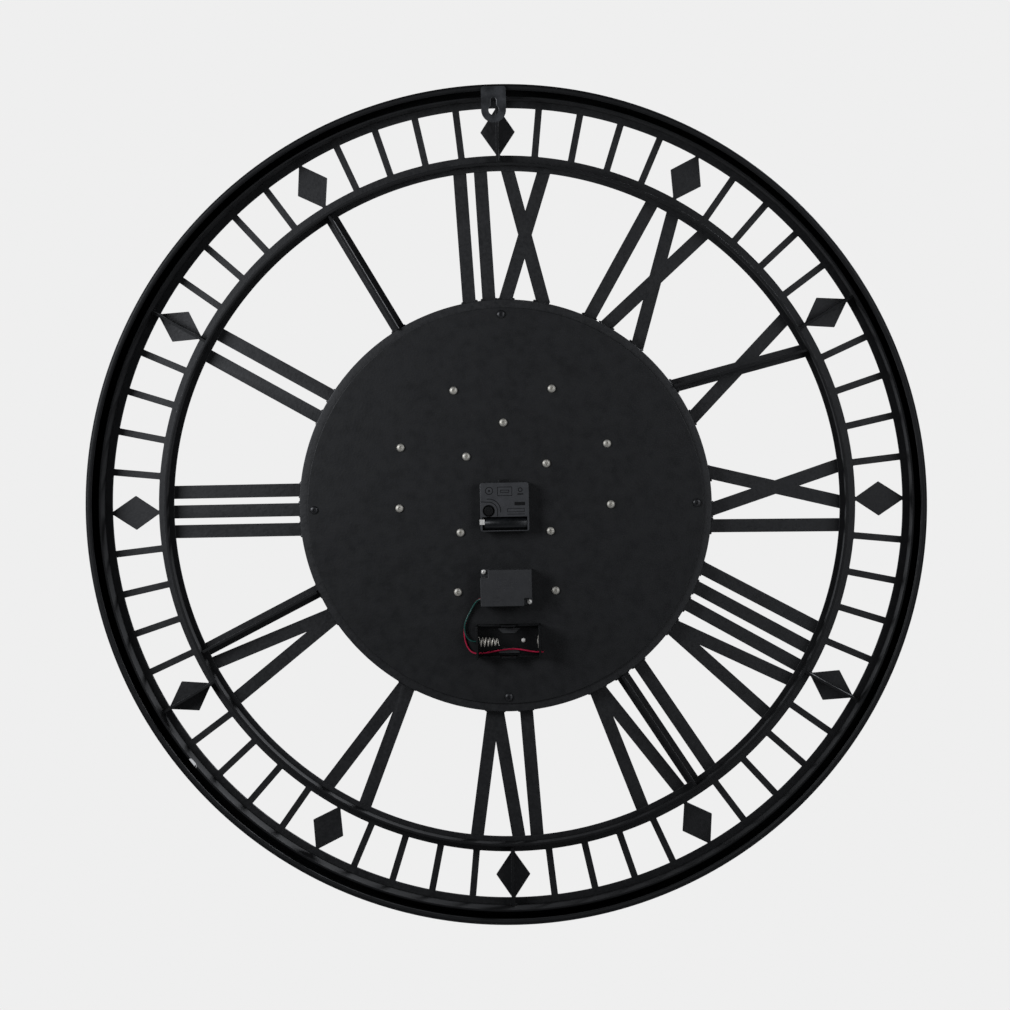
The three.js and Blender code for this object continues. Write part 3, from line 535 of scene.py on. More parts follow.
def make_rim():
    """The pressing: flat lip in front, rounded corner, outer wall, and the bead rolled at its back."""
    corner = RIM_R - RIM_CORNER, RIM_FRONT - RIM_CORNER
    roll_start = math.acos(1 - 2 * RIM_SHEET / BEAD)
    bead = swept(RIM_R - BEAD / 2, RIM_BACK + BEAD / 2, BEAD / 2, roll_start, 2 * math.pi, 20)
    outer_corner = swept(*corner, RIM_CORNER, 0, math.pi / 2, 8)
    inner_corner = swept(*corner, RIM_CORNER - RIM_SHEET, math.pi / 2, 0, 8)
    lip = [outer_corner[-1], (rim_bore, RIM_FRONT), (rim_bore, RIM_FRONT - RIM_SHEET), inner_corner[0]]
    profile = [*bead, *outer_corner, *eased(lip, 0.6, closed=False)[1:-1], *inner_corner]
    # The rim takes the darker coat, which paints the shade inside its hollow.
    finished("rim_pressing", turned(profile, 360), "shade_darkened_coat", ["rim"], smooth=ROUND)


track_low, track_high = face_box("minute_track")
TRACK_R = track_high.x
PLATE = track_high.z - track_low.z
TRACK_HEIGHT, CHAPTER_WIDTH = 54.2, 17.9
chapter_r = rim_bore - TRACK_HEIGHT
chapter_bore = chapter_r - CHAPTER_WIDTH
MINUTE_BAR = 7.8
DIAMOND_WIDTH, DIAMOND_OVERLAP = 39.8, 2.4


def bar_side(index):
    """One side of a minute bar or hour diamond from the chapter ring to the rim, as (offset, radius)."""
    if index % BARS_PER_HOUR:
        return [(MINUTE_BAR / 2, chapter_r), (MINUTE_BAR / 2, rim_bore)]
    wide = DIAMOND_WIDTH / 2
    neck = wide * DIAMOND_OVERLAP / (TRACK_HEIGHT / 2 + DIAMOND_OVERLAP)
    return [(neck, chapter_r), (wide, (chapter_r + rim_bore) / 2), (neck, rim_bore)]


def make_track():
    count = HOURS * BARS_PER_HOUR
    step = 2 * math.pi / count
    windows = []
    for i in range(count):
        right = [(r, i * step + math.asin(offset / r)) for offset, r in bar_side(i)]
        left = [(r, (i + 1) * step - math.asin(offset / r)) for offset, r in bar_side(i + 1)]
        outer, inner = arc(rim_bore, right[-1][1], left[-1][1], 6), arc(chapter_r, left[0][1], right[0][1], 6)
        sides = [[point(*place) for place in side] for side in (right[:-1], reversed(left[1:-1]))]
        windows.append(eased([*sides[0], *outer, *sides[1], *inner[:-1]], 0.9, steps=2))
    outlines = [circle(TRACK_R, 360), circle(chapter_bore, 360), *windows]
    finished("track_plate", plate(outlines, track_low.z, PLATE, 0.35), "powder_coat", ["minute_track"])


hoops_low, hoops_high = face_box("chapter_frame")
HOOP_TOP = hoops_high.z
HOOP_INSET, HOOP_WALL, HOOP_DEPTH = 5.5, 3.0, 21.0
OUTER_WALL, OUTER_DEPTH = 2.5, HOOP_TOP - hoops_low.z
RIB_WALL, RIB_DEPTH = 3.0, 17.0
hoop_bore = chapter_bore + HOOP_INSET
drum_low, drum_high = face_box("drum_hoop")
DRUM_R = drum_high.x
DRUM_WALL, FLANGE_BORE = 3.0, 212.0
NUMERAL_MIDDLE = 312.0


def rib(angle, x, lean, start, end):
    """A bar on edge behind the plates, from one radius to another along a leaning line."""
    along = 1 / math.cos(lean)
    mesh = block((-RIB_WALL / 2, (start - NUMERAL_MIDDLE) * along, HOOP_TOP - RIB_DEPTH),
                 (RIB_WALL / 2, (end - NUMERAL_MIDDLE) * along, HOOP_TOP), 0.35)
    return moved(moved(mesh, x, NUMERAL_MIDDLE, 0, lean), turn=angle)


def weld(place, size, turn):
    """A small bead of weld metal, longer across than along."""
    bm = bmesh.new()
    bmesh.ops.create_icosphere(bm, subdivisions=3, radius=1)
    shape = Vector((size * random.uniform(1.1, 1.6), size, size * 0.6))
    for vert in bm.verts:
        swell = 1 + 0.12 * math.sin(5 * vert.co.x + size * 7) + 0.1 * math.cos(4 * vert.co.y + turn)
        vert.co = Vector((vert.co[i] * shape[i] * swell for i in range(3)))
    return moved(mesh_of(bm), *place, turn)


def make_chapter_frame():
    # The hoops and ribs take the darker coat, which paints the shade behind the plates.
    chapter_hoop = ring(hoop_bore, hoop_bore + HOOP_WALL, HOOP_TOP - HOOP_DEPTH, HOOP_DEPTH, 0.5)
    outer_hoop = ring(TRACK_R - OUTER_WALL, TRACK_R, HOOP_TOP - OUTER_DEPTH, OUTER_DEPTH, 0.5)
    finished("chapter_hoop", chapter_hoop, "shade_darkened_coat", ["chapter_frame"], smooth=ROUND)
    finished("outer_hoop", outer_hoop, "shade_darkened_coat", ["chapter_frame"], smooth=ROUND)
    beads = []
    for hour in range(2, HOURS + 1, 2):
        angle = math.radians(30 * hour)
        mesh = rib(angle, 0, 0, hoop_bore + HOOP_WALL / 2, TRACK_R - OUTER_WALL / 2)
        finished(f"diamond_rib_{hour:02d}", mesh, "shade_darkened_coat", ["chapter_frame"])
        for radius in (hoop_bore + HOOP_WALL + 0.6, TRACK_R - OUTER_WALL - 0.6):
            corners = [point(radius, angle + side * 2.2 / radius) for side in (-1, 1)]
            beads += [weld((*corner, HOOP_TOP - RIB_DEPTH * 0.5), 1.5, angle) for corner in corners]
    for hour, x, lean in STROKE_RIBS:
        mesh = rib(math.radians(30 * hour), x, math.radians(lean), DRUM_R, hoop_bore + HOOP_WALL / 6)
        finished(f"stroke_rib_{hour:02d}", mesh, "shade_darkened_coat", ["chapter_frame"])
    finished("rib_welds", together(*beads), "shade_darkened_coat", ["chapter_frame"], smooth=SOFT)


# ---------------------------------------------------------------- numerals
STROKE, TIE, NUMERAL_LAP = 15.2, 11.0, 3.0
V_HALF_ANGLE, V_POINT_R, X_HALF_ANGLE = 8.5, 223.0, 16.0
NUMERALS = {
    1: [("I", 0, 0)],
    2: [("I", -14.2, 0), ("I", 14.2, 0)],
    3: [("I", -22.8, 0), ("I", 0, 0), ("I", 23, 0)],
    4: [("I", -32, -3.4), ("V", 6.2, 0)],
    5: [("V", 0.5, 0)],
    6: [("V", -17, 0), ("I", 24, 3.7)],
    7: [("V", -20.6, -1), ("I", 17.4, 2.6), ("I", 42, 3.1)],
    8: [("V", -36, -4.4), ("I", 1.5, 0), ("I", 24.5, 0.6), ("I", 48.5, 1.3)],
    9: [("I", -28.8, -0.6), ("X", 15.3, 2.1)],
    10: [("X", -3.4, 0)],
    11: [("X", -25.5, -2.1), ("I", 20, 0)],
    12: [("X", -29, -2), ("I", 17.5, 2.6), ("I", 41, 3)],
}
STROKE_RIBS = [(1, 0, 0), (4, -32, -3.4), (7, 17.4, 2.6), (10, -3.4, -X_HALF_ANGLE)]


def strokes(form, x, lean):
    """The bars of one letter, each as its x at the middle radius and its lean in degrees."""
    if form == "I":
        return [(x, lean)]
    if form == "X":
        return [(x, lean + side * X_HALF_ANGLE) for side in (-1, 1)]
    spread_out = (NUMERAL_MIDDLE - V_POINT_R) * math.tan(math.radians(V_HALF_ANGLE))
    return [(x + side * spread_out, lean + side * V_HALF_ANGLE) for side in (-1, 1)]


def stroke_angles(bars, radius):
    """Angles of the bars' sides at a radius."""
    out = radius - NUMERAL_MIDDLE
    return [math.atan2(x + out * math.tan(math.radians(lean)) + side * STROKE / 2, radius)
            for x, lean in bars for side in (-1, 1)]


def make_numeral(hour):
    node = f"numeral_{hour:02d}"
    z = face_box(node)[0].z
    bars = [bar for letter in NUMERALS[hour] for bar in strokes(*letter)]
    inner, outer = DRUM_R - TIE - NUMERAL_LAP / 3, chapter_bore + NUMERAL_LAP
    parts = []
    for radius in (inner, outer):
        angles = stroke_angles(bars, radius + TIE / 2)
        start, end = min(angles), max(angles)
        outline = [*arc(radius + TIE, start, end, 12), *arc(radius, end, start, 12)]
        parts.append(plate([outline], z, PLATE, 0.01))
    for x, lean in bars:
        along = 1 / math.cos(math.radians(lean))
        low, high = inner + TIE / 2 - NUMERAL_MIDDLE, outer + TIE / 2 - NUMERAL_MIDDLE
        bar = block((-STROKE / 2, low * along, z), (STROKE / 2, high * along, z + PLATE), 0)
        parts.append(moved(bar, x, NUMERAL_MIDDLE, 0, math.radians(lean)))
    mesh = moved(bevelled(combined("UNION", *parts), 0.35), turn=math.radians(30 * hour))
    finished(f"{node}_plate", mesh, "powder_coat", [node])
    beads = []
    for radius in (DRUM_R + 1.0, hoop_bore - 1.2):
        for angle in stroke_angles(bars, radius):
            at = angle + math.radians(30 * hour)
            beads.append(weld((*point(radius, at), z - 0.8), random.uniform(1.3, 1.9), at))
    finished(f"{node}_welds", together(*beads), "powder_coat", [node], smooth=SOFT)


# ---------------------------------------------------------------- hanger, drum and disc
HANGER = {"width": 27, "hole": 11.5, "slot": 6, "rise": 11, "corner": 2.5, "square": 9}
HANGER_WELD = {"r": 3.4, "height": 0.9, "side": 7.5, "down": 4.0}
SHANK = 5.0
disc_low, disc_high = face_box("back_disc")
DISC_BACK = disc_low.z


def make_hanger():
    low, high = face_box("hanger")
    half, x = HANGER["width"] / 2, (low.x + high.x) / 2
    square = high.y - HANGER["square"]
    outline = eased([(x - half, square), (x - half, high.y), (x + half, high.y), (x + half, square)],
                    HANGER["corner"], closed=False)
    eye = Vector((x, low.y + half))
    outline += [p + eye for p in arc(half, math.pi / 2, 3 * math.pi / 2, 32)]
    neck, slot = math.asin(HANGER["slot"] / HANGER["hole"]), eye + Vector((0, HANGER["rise"]))
    keyhole = [p + eye for p in arc(HANGER["hole"] / 2, neck, 2 * math.pi - neck, 32)]
    keyhole += [p + slot for p in arc(HANGER["slot"] / 2, -math.pi / 2, math.pi / 2, 12)]
    strap = plate([outline, keyhole], low.z, high.z - low.z, 0.55)
    finished("hanger_strap", strap, "worn_coat", ["hanger"])
    radius, height = HANGER_WELD["r"], HANGER_WELD["height"]
    spot = turned(eased([(0, height), (radius - 0.8, height), (radius, 0), (0, 0)], 0.5, closed=False), 24)
    spots = [moved(spot, x + side * HANGER_WELD["side"], high.y - HANGER_WELD["down"], high.z - 0.2)
             for side in (-1, 1)]
    finished("hanger_welds", together(*spots), "worn_coat", ["hanger"], smooth=ROUND)


def make_drum():
    back, flange = drum_low.z, drum_low.z + PLATE
    profile = [(FLANGE_BORE, back), (DRUM_R, back), (DRUM_R, drum_high.z), (DRUM_R - DRUM_WALL, drum_high.z),
               (DRUM_R - DRUM_WALL, flange), (FLANGE_BORE, flange)]
    finished("drum_pressing", turned(eased(profile, 0.8), 288), "powder_coat", ["drum_hoop"], smooth=ROUND)


def make_disc():
    posts = [middle(f"gear_post_{i}") for i in range(1, 6)] + [middle(f"ring_post_{i}") for i in range(1, 9)]
    screws = [middle(f"disc_screw_{i}") for i in range(1, 5)]
    holes = [circle(SHANK / 2 + 0.3, 16, p.x, p.y) for p in posts + screws]
    holes += [circle(5.2, 24), circle(2.9, 16, *middle("drive_gear").xy)]
    disc = plate([circle(disc_high.x, 288), *holes], DISC_BACK, disc_high.z - DISC_BACK, 0.5)
    finished("disc_plate", disc, "disc_coat", ["back_disc"])


# ---------------------------------------------------------------- screws and posts
def recess(size, depth, z):
    """A cross recess, as a tool that cuts a screw head whose top is at z and faces the wall."""
    wings = []
    for turn in (0, math.pi / 2):
        wing = block((-size / 2, -size * 0.11, z - 1), (size / 2, size * 0.11, z + depth), 0, size * 0.3)
        wings.append(moved(wing, turn=turn))
    return combined("UNION", *wings)


def pan_head(radius, height, seat, rise=0.25):
    """Profile of a domed head from its top, towards the wall, to its edge on the seat."""
    dome = [(radius * math.sin(a), seat - height * (rise + (1 - rise) * math.cos(a)))
            for a in (math.pi / 2 * i / 8 for i in range(9))]
    return [*dome, (radius * 0.985, seat)]


def screw(radius, height, shank, length, seat):
    half, end = shank / 2, seat + length
    tip = [(half, seat), (half, end - 0.8), (half - 0.8, end), (0, end)]
    body = turned([*pan_head(radius, height, seat), *tip], 40)
    return combined("DIFFERENCE", body, recess(radius * 1.15, height * 0.45, seat - height))


POST = {"head": 4.65, "head_height": 3.0, "spacer": 6.0, "axle": 3.0, "cap": 5.25, "cap_height": 2.2}
AXLE_LENGTH = {"gear_post": 3.6, "ring_post": 3.1}
DISC_SCREW = {"radius": 4.7, "height": 2.6, "length": 11}
MOTOR_SCREW = {"radius": 2.85, "height": 2.0, "shank": 2.6}
GAP = 0.3


def post(kind):
    """A shouldered post drawn about its own axis: rear pan head, spacer, axle and front cap."""
    top = face_box(f"{kind}_1")[1].z
    seat, front = DISC_BACK - GAP, DISC_BACK + PLATE + GAP
    cap_seat = top - POST["cap_height"]
    shoulder = cap_seat - AXLE_LENGTH[kind]
    spacer = eased([(SHANK / 2 + 0.1, front), (POST["spacer"], front), (POST["spacer"], shoulder),
                    (POST["axle"], shoulder)], 0.4, closed=False)[1:-1]
    cap = [(POST["cap"] * math.cos(a) ** 0.6, cap_seat + POST["cap_height"] * math.sin(a))
           for a in (math.pi / 2 * i / 7 for i in range(7))]
    head = pan_head(POST["head"], POST["head_height"], seat)
    axle = [(POST["axle"], shoulder), (POST["axle"], cap_seat)]
    profile = [*head, (SHANK / 2, seat), (SHANK / 2, front), *spacer, *axle, *cap, (0, top)]
    return combined("DIFFERENCE", turned(profile, 40), recess(5.4, 1.5, seat - POST["head_height"]))


def make_fasteners():
    low, high = face_box("motor_screw_1")
    head_height = MOTOR_SCREW["height"]
    motor_screw = screw(**MOTOR_SCREW, length=high.z - low.z - head_height, seat=low.z + head_height)
    disc_screw = screw(**DISC_SCREW, shank=SHANK, seat=DISC_BACK - GAP)
    kinds = {
        "gear_post": (5, post("gear_post"), "zinc_plate"), "ring_post": (8, post("ring_post"), "zinc_plate"),
        # The motor screws' pale finish paints their glint.
        "disc_screw": (4, disc_screw, "black_oxide"), "motor_screw": (2, motor_screw, "highlight_painted_tin"),
    }
    for kind, (count, mesh, finish) in kinds.items():
        for i in range(1, count + 1):
            place = middle(f"{kind}_{i}")
            finished(f"{kind}_{i}_turned", mesh, finish, [f"{kind}_{i}"], place=(place.x, place.y, 0),
                     turn=random.uniform(0, math.pi / 2), smooth=ROUND)


# ---------------------------------------------------------------- gears
MODULE, ADDENDUM, DEDENDUM, BACKLASH = 4.0, 3.0, 4.4, 0.8
PRESSURE = math.radians(25)
GEAR_SHEET, GEAR_RIM, GEAR_HUB, SPOKE, SPOKES, LEAST_WINDOW = 3.0, 5.0, 4.0, 7.0, 5, 8.0
TEETH = {"drive": 18, "right": 23, "left": 23, "upper_right": 21, "upper_left": 16, "top": 8}
MESHES = [("drive", "right"), ("drive", "left"), ("right", "upper_right"), ("left", "upper_left"),
          ("upper_right", "top")]
AXLE, SPACER, SHAFT_R = 6.0, 12.0, 2.5


def gear_node(name):
    return "drive_gear" if name == "drive" else f"gear_{name}"


def gear_layout():
    """Each gear's centre, from its joint, and its angle, so that teeth face gaps where two gears meet."""
    places = {j["child"]: Vector((j["pos_m"][0], j["pos_m"][2])) / MM for j in frame["joints"]}
    centres = {name: places[gear_node(name)] for name in TEETH}
    angles = {"drive": 0.0}
    for first, second in MESHES:
        way = centres[second] - centres[first]
        line = math.atan2(way.x, way.y)
        phase = TEETH[first] * (line - angles[first]) / (2 * math.pi)
        angles[second] = line + math.pi - 2 * math.pi / TEETH[second] * (0.5 - phase)
    return centres, angles


def gear_outline(teeth, angle):
    pitch = MODULE * teeth / 2
    base = pitch * math.cos(PRESSURE)

    def involute(radius):
        pressure = math.acos(min(1, base / radius))
        return math.tan(pressure) - pressure

    def half(radius):
        return (math.pi * MODULE / 2 - BACKLASH) / (2 * pitch) + involute(pitch) - involute(radius)

    radii = [pitch - DEDENDUM + (ADDENDUM + DEDENDUM) * i / 5 for i in range(6)]
    outline = []
    for tooth in range(teeth):
        centre = angle + 2 * math.pi * tooth / teeth
        outline += [point(r, centre - half(r)) for r in radii]
        outline += [point(r, centre + half(r)) for r in reversed(radii)]
    return outline


def gear_windows(teeth, angle):
    """Openings between the spokes, where the gear is large enough to have any."""
    outer, inner = MODULE * teeth / 2 - DEDENDUM - GEAR_RIM, SPACER / 2 + GEAR_HUB
    if outer - inner < LEAST_WINDOW:
        return []
    wide, narrow = (math.pi / SPOKES - math.asin(SPOKE / 2 / r) for r in (outer, inner))
    centres = [angle + 2 * math.pi * (i + 0.5) / SPOKES for i in range(SPOKES)]
    return [eased([*arc(outer, c - wide, c + wide, 10), *arc(inner, c + narrow, c - narrow, 5)], 1.6)
            for c in centres]


def make_gears():
    centres, angles = gear_layout()
    back = face_box("gear_top")[0].z
    front = back + GEAR_SHEET
    for name, teeth in TEETH.items():
        node, angle = gear_node(name), angles[name]
        bore = [circle(AXLE / 2 + 0.1, 32)] if name != "drive" else []
        windows = gear_windows(teeth, angle)
        web = plate([gear_outline(teeth, angle), *bore, *windows], back, GEAR_SHEET, 0.35)
        parts = [web, ring(SPACER / 2 + 0.6, SPACER / 2 + 3.2, front - 0.2, 0.9, 0.3, 64)]
        if windows:
            outer = MODULE * teeth / 2 - DEDENDUM
            parts.append(ring(outer - 3.4, outer - 1.4, front - 0.2, 0.6, 0.2, 96))
        if name == "drive":
            hub, shaft_back = disc_high.z + GAP, face_box(node)[0].z
            parts.append(rod(SPACER / 2, hub, front + 1.5 - hub, 0.4, 40))
            parts.append(rod(SHAFT_R, shaft_back, front - shaft_back))
        finished(f"{node}_cut", together(*parts), "antique_brass", [node], node, (*centres[name], 0))


COG_RING = {"y": 17.0, "bore": 116.0, "r": 139.0, "tooth": 11.0, "cogs": 36}


def make_cog_ring():
    low, high = face_box("cog_ring")
    step, outer = 2 * math.pi / COG_RING["cogs"], COG_RING["r"] + COG_RING["tooth"]
    outline = []
    for i in range(COG_RING["cogs"]):
        outline += [point(COG_RING["r"], (i - 0.3) * step), point(outer, (i - 0.18) * step),
                    point(outer, (i + 0.18) * step), point(COG_RING["r"], (i + 0.3) * step)]
    posts = [middle(f"ring_post_{i}") for i in range(1, 9)]
    holes = [circle(AXLE / 2 + 0.3, 20, p.x, p.y - COG_RING["y"]) for p in posts]
    outlines = [eased(outline, 1.0, steps=2), circle(COG_RING["bore"], 180), *holes]
    flat = plate(outlines, low.z, high.z - low.z, 0.4)
    finished("cog_ring_plate", moved(flat, 0, COG_RING["y"]), "powder_coat", ["cog_ring"])


# ---------------------------------------------------------------- movement and hands
CELL = {"r": 7.2, "y": -19.0, "nub": 5.4, "nub_height": 1.4, "gap": 0.6}
CASE, CASE_CORNER = 56.0, 3.0
KNOB = {"r": 5.2, "knurl": 0.45, "height": 2.6, "boss": 1.9, "shaft": 1.2, "recess": 6.4}
MARK_RINGS = [(17.4, 18.8, 4.6, 0.9), (-18.4, 19.6, 2.6, 0.9)]  # x, y, radius, line
MARK_FRAMES = [  # x, y, width, height, line
    (-0.5, 18, 17.1, 10.6, 0.7), (-0.5, 18, 10, 3.4, 0.6), (-18.4, 14.6, 6.6, 1.6, 0.7),
    (-13, -3.8, 19.8, 4.4, 0.6),
]
KNOB_ARCS = [(9.6, -90, 0), (13.2, -98, 8)]  # radius and angles round the knob
ARC_LINE = 0.9
cover_low, cover_high = face_box("movement_cover")


def rectangle(x, y, wide, tall, corner, steps=3):
    """A rectangle about a centre, with rounded corners."""
    half, rise = wide / 2, tall / 2
    corners = [(x - half, y + rise), (x + half, y + rise), (x + half, y - rise), (x - half, y - rise)]
    return eased(corners, corner, steps=steps)


def frame_outline(x, y, wide, tall, line):
    """A thin rectangular frame, as the outlines of a plate."""
    return [rectangle(x, y, wide - 2 * inset, tall - 2 * inset, 0.5) for inset in (0, line)]


def movement_marks(knob, back):
    """Plain moulded marks on the movement's cover: rings, frames, bars and the arcs round the knob, drawn in
    darker plastic that paints the shade along their relief.
    """
    shapes = [[circle(r, 40, x, y), circle(r - line, 40, x, y)] for x, y, r, line in MARK_RINGS]
    shapes += [frame_outline(*mark) for mark in MARK_FRAMES]
    shapes.append([circle(1.5, 4, *MARK_RINGS[0][:2])])
    shapes.append([rectangle(-17.6, 3.6, 12.2, 4, 0.5)])
    shapes.append([[(-3, -8), (-3, -8.6), (-23, -8.6), (-23, -8)]])
    shapes.append([circle(7.1, 64, *knob), circle(6.4, 64, *knob)])
    for radius, start, end in KNOB_ARCS:
        start, end = math.radians(start), math.radians(end)
        band = [*arc(radius + ARC_LINE, start, end, 24), *arc(radius, end, start, 24)]
        shapes.append([[p + knob for p in band]])
    side, low, edge, high = knob.x - 10.5, -10.6, 27.2, knob.y + 9.6
    inner, upper, slope = side + ARC_LINE, high + ARC_LINE, 0.5
    shapes.append([[(side, knob.y), (inner, knob.y), (inner, low), (side, low)]])
    shapes.append([[(knob.x, high), (knob.x, upper), (edge, upper + slope), (edge, high + slope)]])
    return together(*(plate(shape, back - 0.1, 0.4, 0.05) for shape in shapes))


def make_movement():
    back, front, knob = cover_low.z, cover_high.z, middle("set_knob").xy
    cover = plate([rectangle(0, 0, CASE, CASE, CASE_CORNER, 6)], back, front - back, 0.6)
    cell_low, cell_high = face_box("movement_cell")
    half, rise = (cell_high.x - cell_low.x) / 2 + CELL["gap"], CELL["r"] + CELL["gap"]
    bay = block((-half, CELL["y"] - rise, back - 2), (half, CELL["y"] + rise, front + 1), 0.3)
    knob_recess = moved(rod(KNOB["recess"], back - 1, 3.2, 0.05, 64), *knob)
    body = bevelled(combined("DIFFERENCE", cover, bay, knob_recess), 0.25, 1, 40)
    finished("movement_shell", body, "movement_plastic", ["movement_cover"])
    tab = block((-6.5, CASE / 2 - 2, back + 0.6), (6.5, cover_high.y, back + 3), 0.5)
    # A dark ring on the floor of the knob's recess paints the shade in the recess.
    recess_floor = moved(ring(1.6, KNOB["recess"] + 0.1, back + 2.15, 0.4, 0.05, 48), *knob)
    finished("movement_marks", together(tab, recess_floor, movement_marks(knob, back)), "shade_darkened_black_plastic",
             ["movement_cover"])
    case_low, case_high = face_box("movement_case")
    top, pitch = DISC_BACK - GAP, 0.4
    base = plate([rectangle(0, 0, CASE, CASE, CASE_CORNER, 6)], case_low.z, top - case_low.z, 0.4)
    threads = [(4.8 - 0.25 * (i % 2), top + pitch * i) for i in range(int((case_high.z - top) / pitch))]
    bush = turned([(3.4, top - 0.5), *threads, (4.5, case_high.z), (3.4, case_high.z)], 40)
    finished("movement_base", together(base, bush), "shade_darkened_black_plastic", ["movement_case"])


def make_cell():
    """The AA cell: its wrap, the two bare ends, and the clip that holds its far end."""
    low, high = face_box("movement_cell")
    z, radius, nub = (low.z + high.z) / 2, CELL["r"], CELL["nub"] / 2
    length = high.x - low.x - CELL["nub_height"]
    end = length + CELL["nub_height"]
    wrap = [(0, 0.5), (radius - 1.4, 0.5), (radius - 1.2, 0), (radius - 0.3, 0.1), (radius, 0.6),
            (radius, length - 1.6), (radius - 0.25, length - 1.2), (radius - 0.25, length - 0.7),
            (radius - 0.9, length), (radius - 1.8, length - 0.1), (radius - 2.0, length - 0.5),
            (0, length - 0.5)]
    finished("cell_wrapped", laid(turned(wrap, 64), low.x, CELL["y"], z), "cell_wrap", ["movement_cell"],
             smooth=ROUND)
    top = [(0, length - 0.7), (nub + 2.2, length - 0.7), (nub + 1.9, length - 0.2), (nub, length - 0.1),
           (nub - 0.1, end - 0.4), (nub - 0.5, end), (0, end)]
    can_end = [(0, 0.1), (radius - 1.6, 0.1), (radius - 1.5, 0.6), (0, 0.6)]
    ends = [laid(turned(profile, 40), low.x, CELL["y"], z) for profile in (top, can_end)]
    finished("cell_ends", together(*ends), "zinc_plate", ["movement_cell"], smooth=ROUND)
    edge, back, low_y, high_y = CASE / 2, cover_low.z, CELL["y"] - 1, CELL["y"] + 5
    clip = [block((edge - 4.8, low_y, back - 0.7), (edge + 0.9, high_y, back - 0.1), 0.2),
            block((edge - 2.5, low_y, back - 0.7), (edge - 2.1, high_y, z + 2), 0.15),
            block((edge + 0.4, low_y, back - 0.7), (edge + 0.9, high_y, back + 5), 0.15)]
    finished("cell_contact_clip", together(*clip), "highlight_painted_tin", ["movement_cover"])


def make_knob():
    low, high = face_box("set_knob")
    place = middle("set_knob")
    grip = [point(KNOB["r"] - KNOB["knurl"] * (i % 2), math.pi * i / 20) for i in range(40)]
    wheel = plate([grip], low.z, KNOB["height"], 0.25)
    boss = rod(KNOB["boss"], low.z - 0.25, 0.6, 0.2, 32)
    rim_line = ring(3.2, 3.8, low.z - 0.2, 0.5, 0.15, 48)
    shaft = rod(KNOB["shaft"], low.z + 1, high.z - low.z - 1, 0.2, 24)
    finished("knob_moulded", together(wheel, boss, rim_line, shaft), "shade_darkened_black_plastic", ["set_knob"], "set_knob",
             (place.x, place.y, 0))


HANDS = {  # the crest is the raised ring on the boss: its bore and height
    "hour_hand": {"length": 150, "width": 17, "tail": 34, "angle": -55, "crest": (7.14, 0.7)},
    "minute_hand": {"length": 214, "width": 14, "tail": 46, "angle": 60, "crest": (6.0, 0.6)},
}
HAND_SHEET = 1.2
ARBOR_R, TUBE_BORE, TUBE_R = 2.0, 2.2, 3.2


def hand_outline(length, width, tail):
    """A spade hand pointing up, with a round boss and a square tail."""
    stem, boss = width * 0.28, width * 0.75
    blade = [(stem, boss * 0.9), (stem * 0.8, length * 0.55), (width * 0.32, length * 0.6),
             (width / 2, length * 0.66), (width * 0.4, length * 0.74)]
    start = math.asin(stem / boss)
    right = arc(boss, start, math.pi - start, 16)
    end = [(width * 0.3, -tail), (-width * 0.3, -tail)]
    left = [Vector((-p.x, p.y)) for p in reversed(right)]
    back_side = [(-x, y) for x, y in reversed(blade)]
    return [*right, *end, *left, *back_side[:-1], (0, length), *reversed(blade[1:])]


def make_hands():
    cap_low, cap_high = face_box("hand_cap")
    for name, hand in HANDS.items():
        low, high = face_box(name)
        front = high.z if name == "hour_hand" else cap_low.z - GAP
        outline = hand_outline(hand["length"], hand["width"], hand["tail"])
        blade = plate([outline], front - HAND_SHEET, HAND_SHEET, 0.3)
        crest_bore, crest_height = hand["crest"]
        crest = ring(crest_bore, hand["width"] * 0.62, front - 0.3, crest_height, 0.15, 48)
        sleeve = front - 0.4 - low.z
        if name == "hour_hand":
            tube = ring(TUBE_BORE, TUBE_R, low.z, sleeve, 0.15, 32)
            blade = combined("DIFFERENCE", blade, rod(TUBE_BORE, front - 3, 4, 0.01, 32))
        else:
            tube = rod(ARBOR_R, low.z, sleeve, 0.2, 32)
        mesh = moved(together(blade, crest, tube), turn=math.radians(hand["angle"]))
        finished(f"{name}_blade", mesh, "powder_coat", [name], name)
    radius, back, top = cap_high.x, cap_low.z, cap_high.z
    dome = [(radius * math.cos(a), back + 0.8 + (top - back - 0.8) * math.sin(a))
            for a in (math.pi / 2 * i / 10 for i in range(10))]
    cap = turned([(0, back), (radius - 0.3, back), (radius, back + 0.3), *dome, (0, top)], 48)
    finished("hand_cap_turned", cap, "antique_brass", ["hand_cap"], "minute_hand", smooth=ROUND)
    nut_low, nut_high = face_box("movement_nut")
    corners = circle((nut_high.x - nut_low.x) / math.sqrt(3), 6)
    nut = plate([eased(corners, 0.5), circle(5.1, 40)], nut_low.z, nut_high.z - nut_low.z, 0.4)
    finished("movement_nut_cut", nut, "antique_brass", ["movement_nut"])


# ---------------------------------------------------------------- motor and tray
NOTCH = 9.0
MOTOR_SHAFT = 2.4


def notched(low, high, inset=0.0):
    """A rectangle with square notches in its upper right and lower left corners, where the screws sit."""
    left, right, bottom, top = low.x + inset, high.x - inset, low.y + inset, high.y - inset
    corners = [(left, top), (right - NOTCH, top), (right - NOTCH, top - NOTCH), (right, top - NOTCH),
               (right, bottom), (left + NOTCH, bottom), (left + NOTCH, bottom + NOTCH),
               (left, bottom + NOTCH)]
    return eased(corners, 0.8)


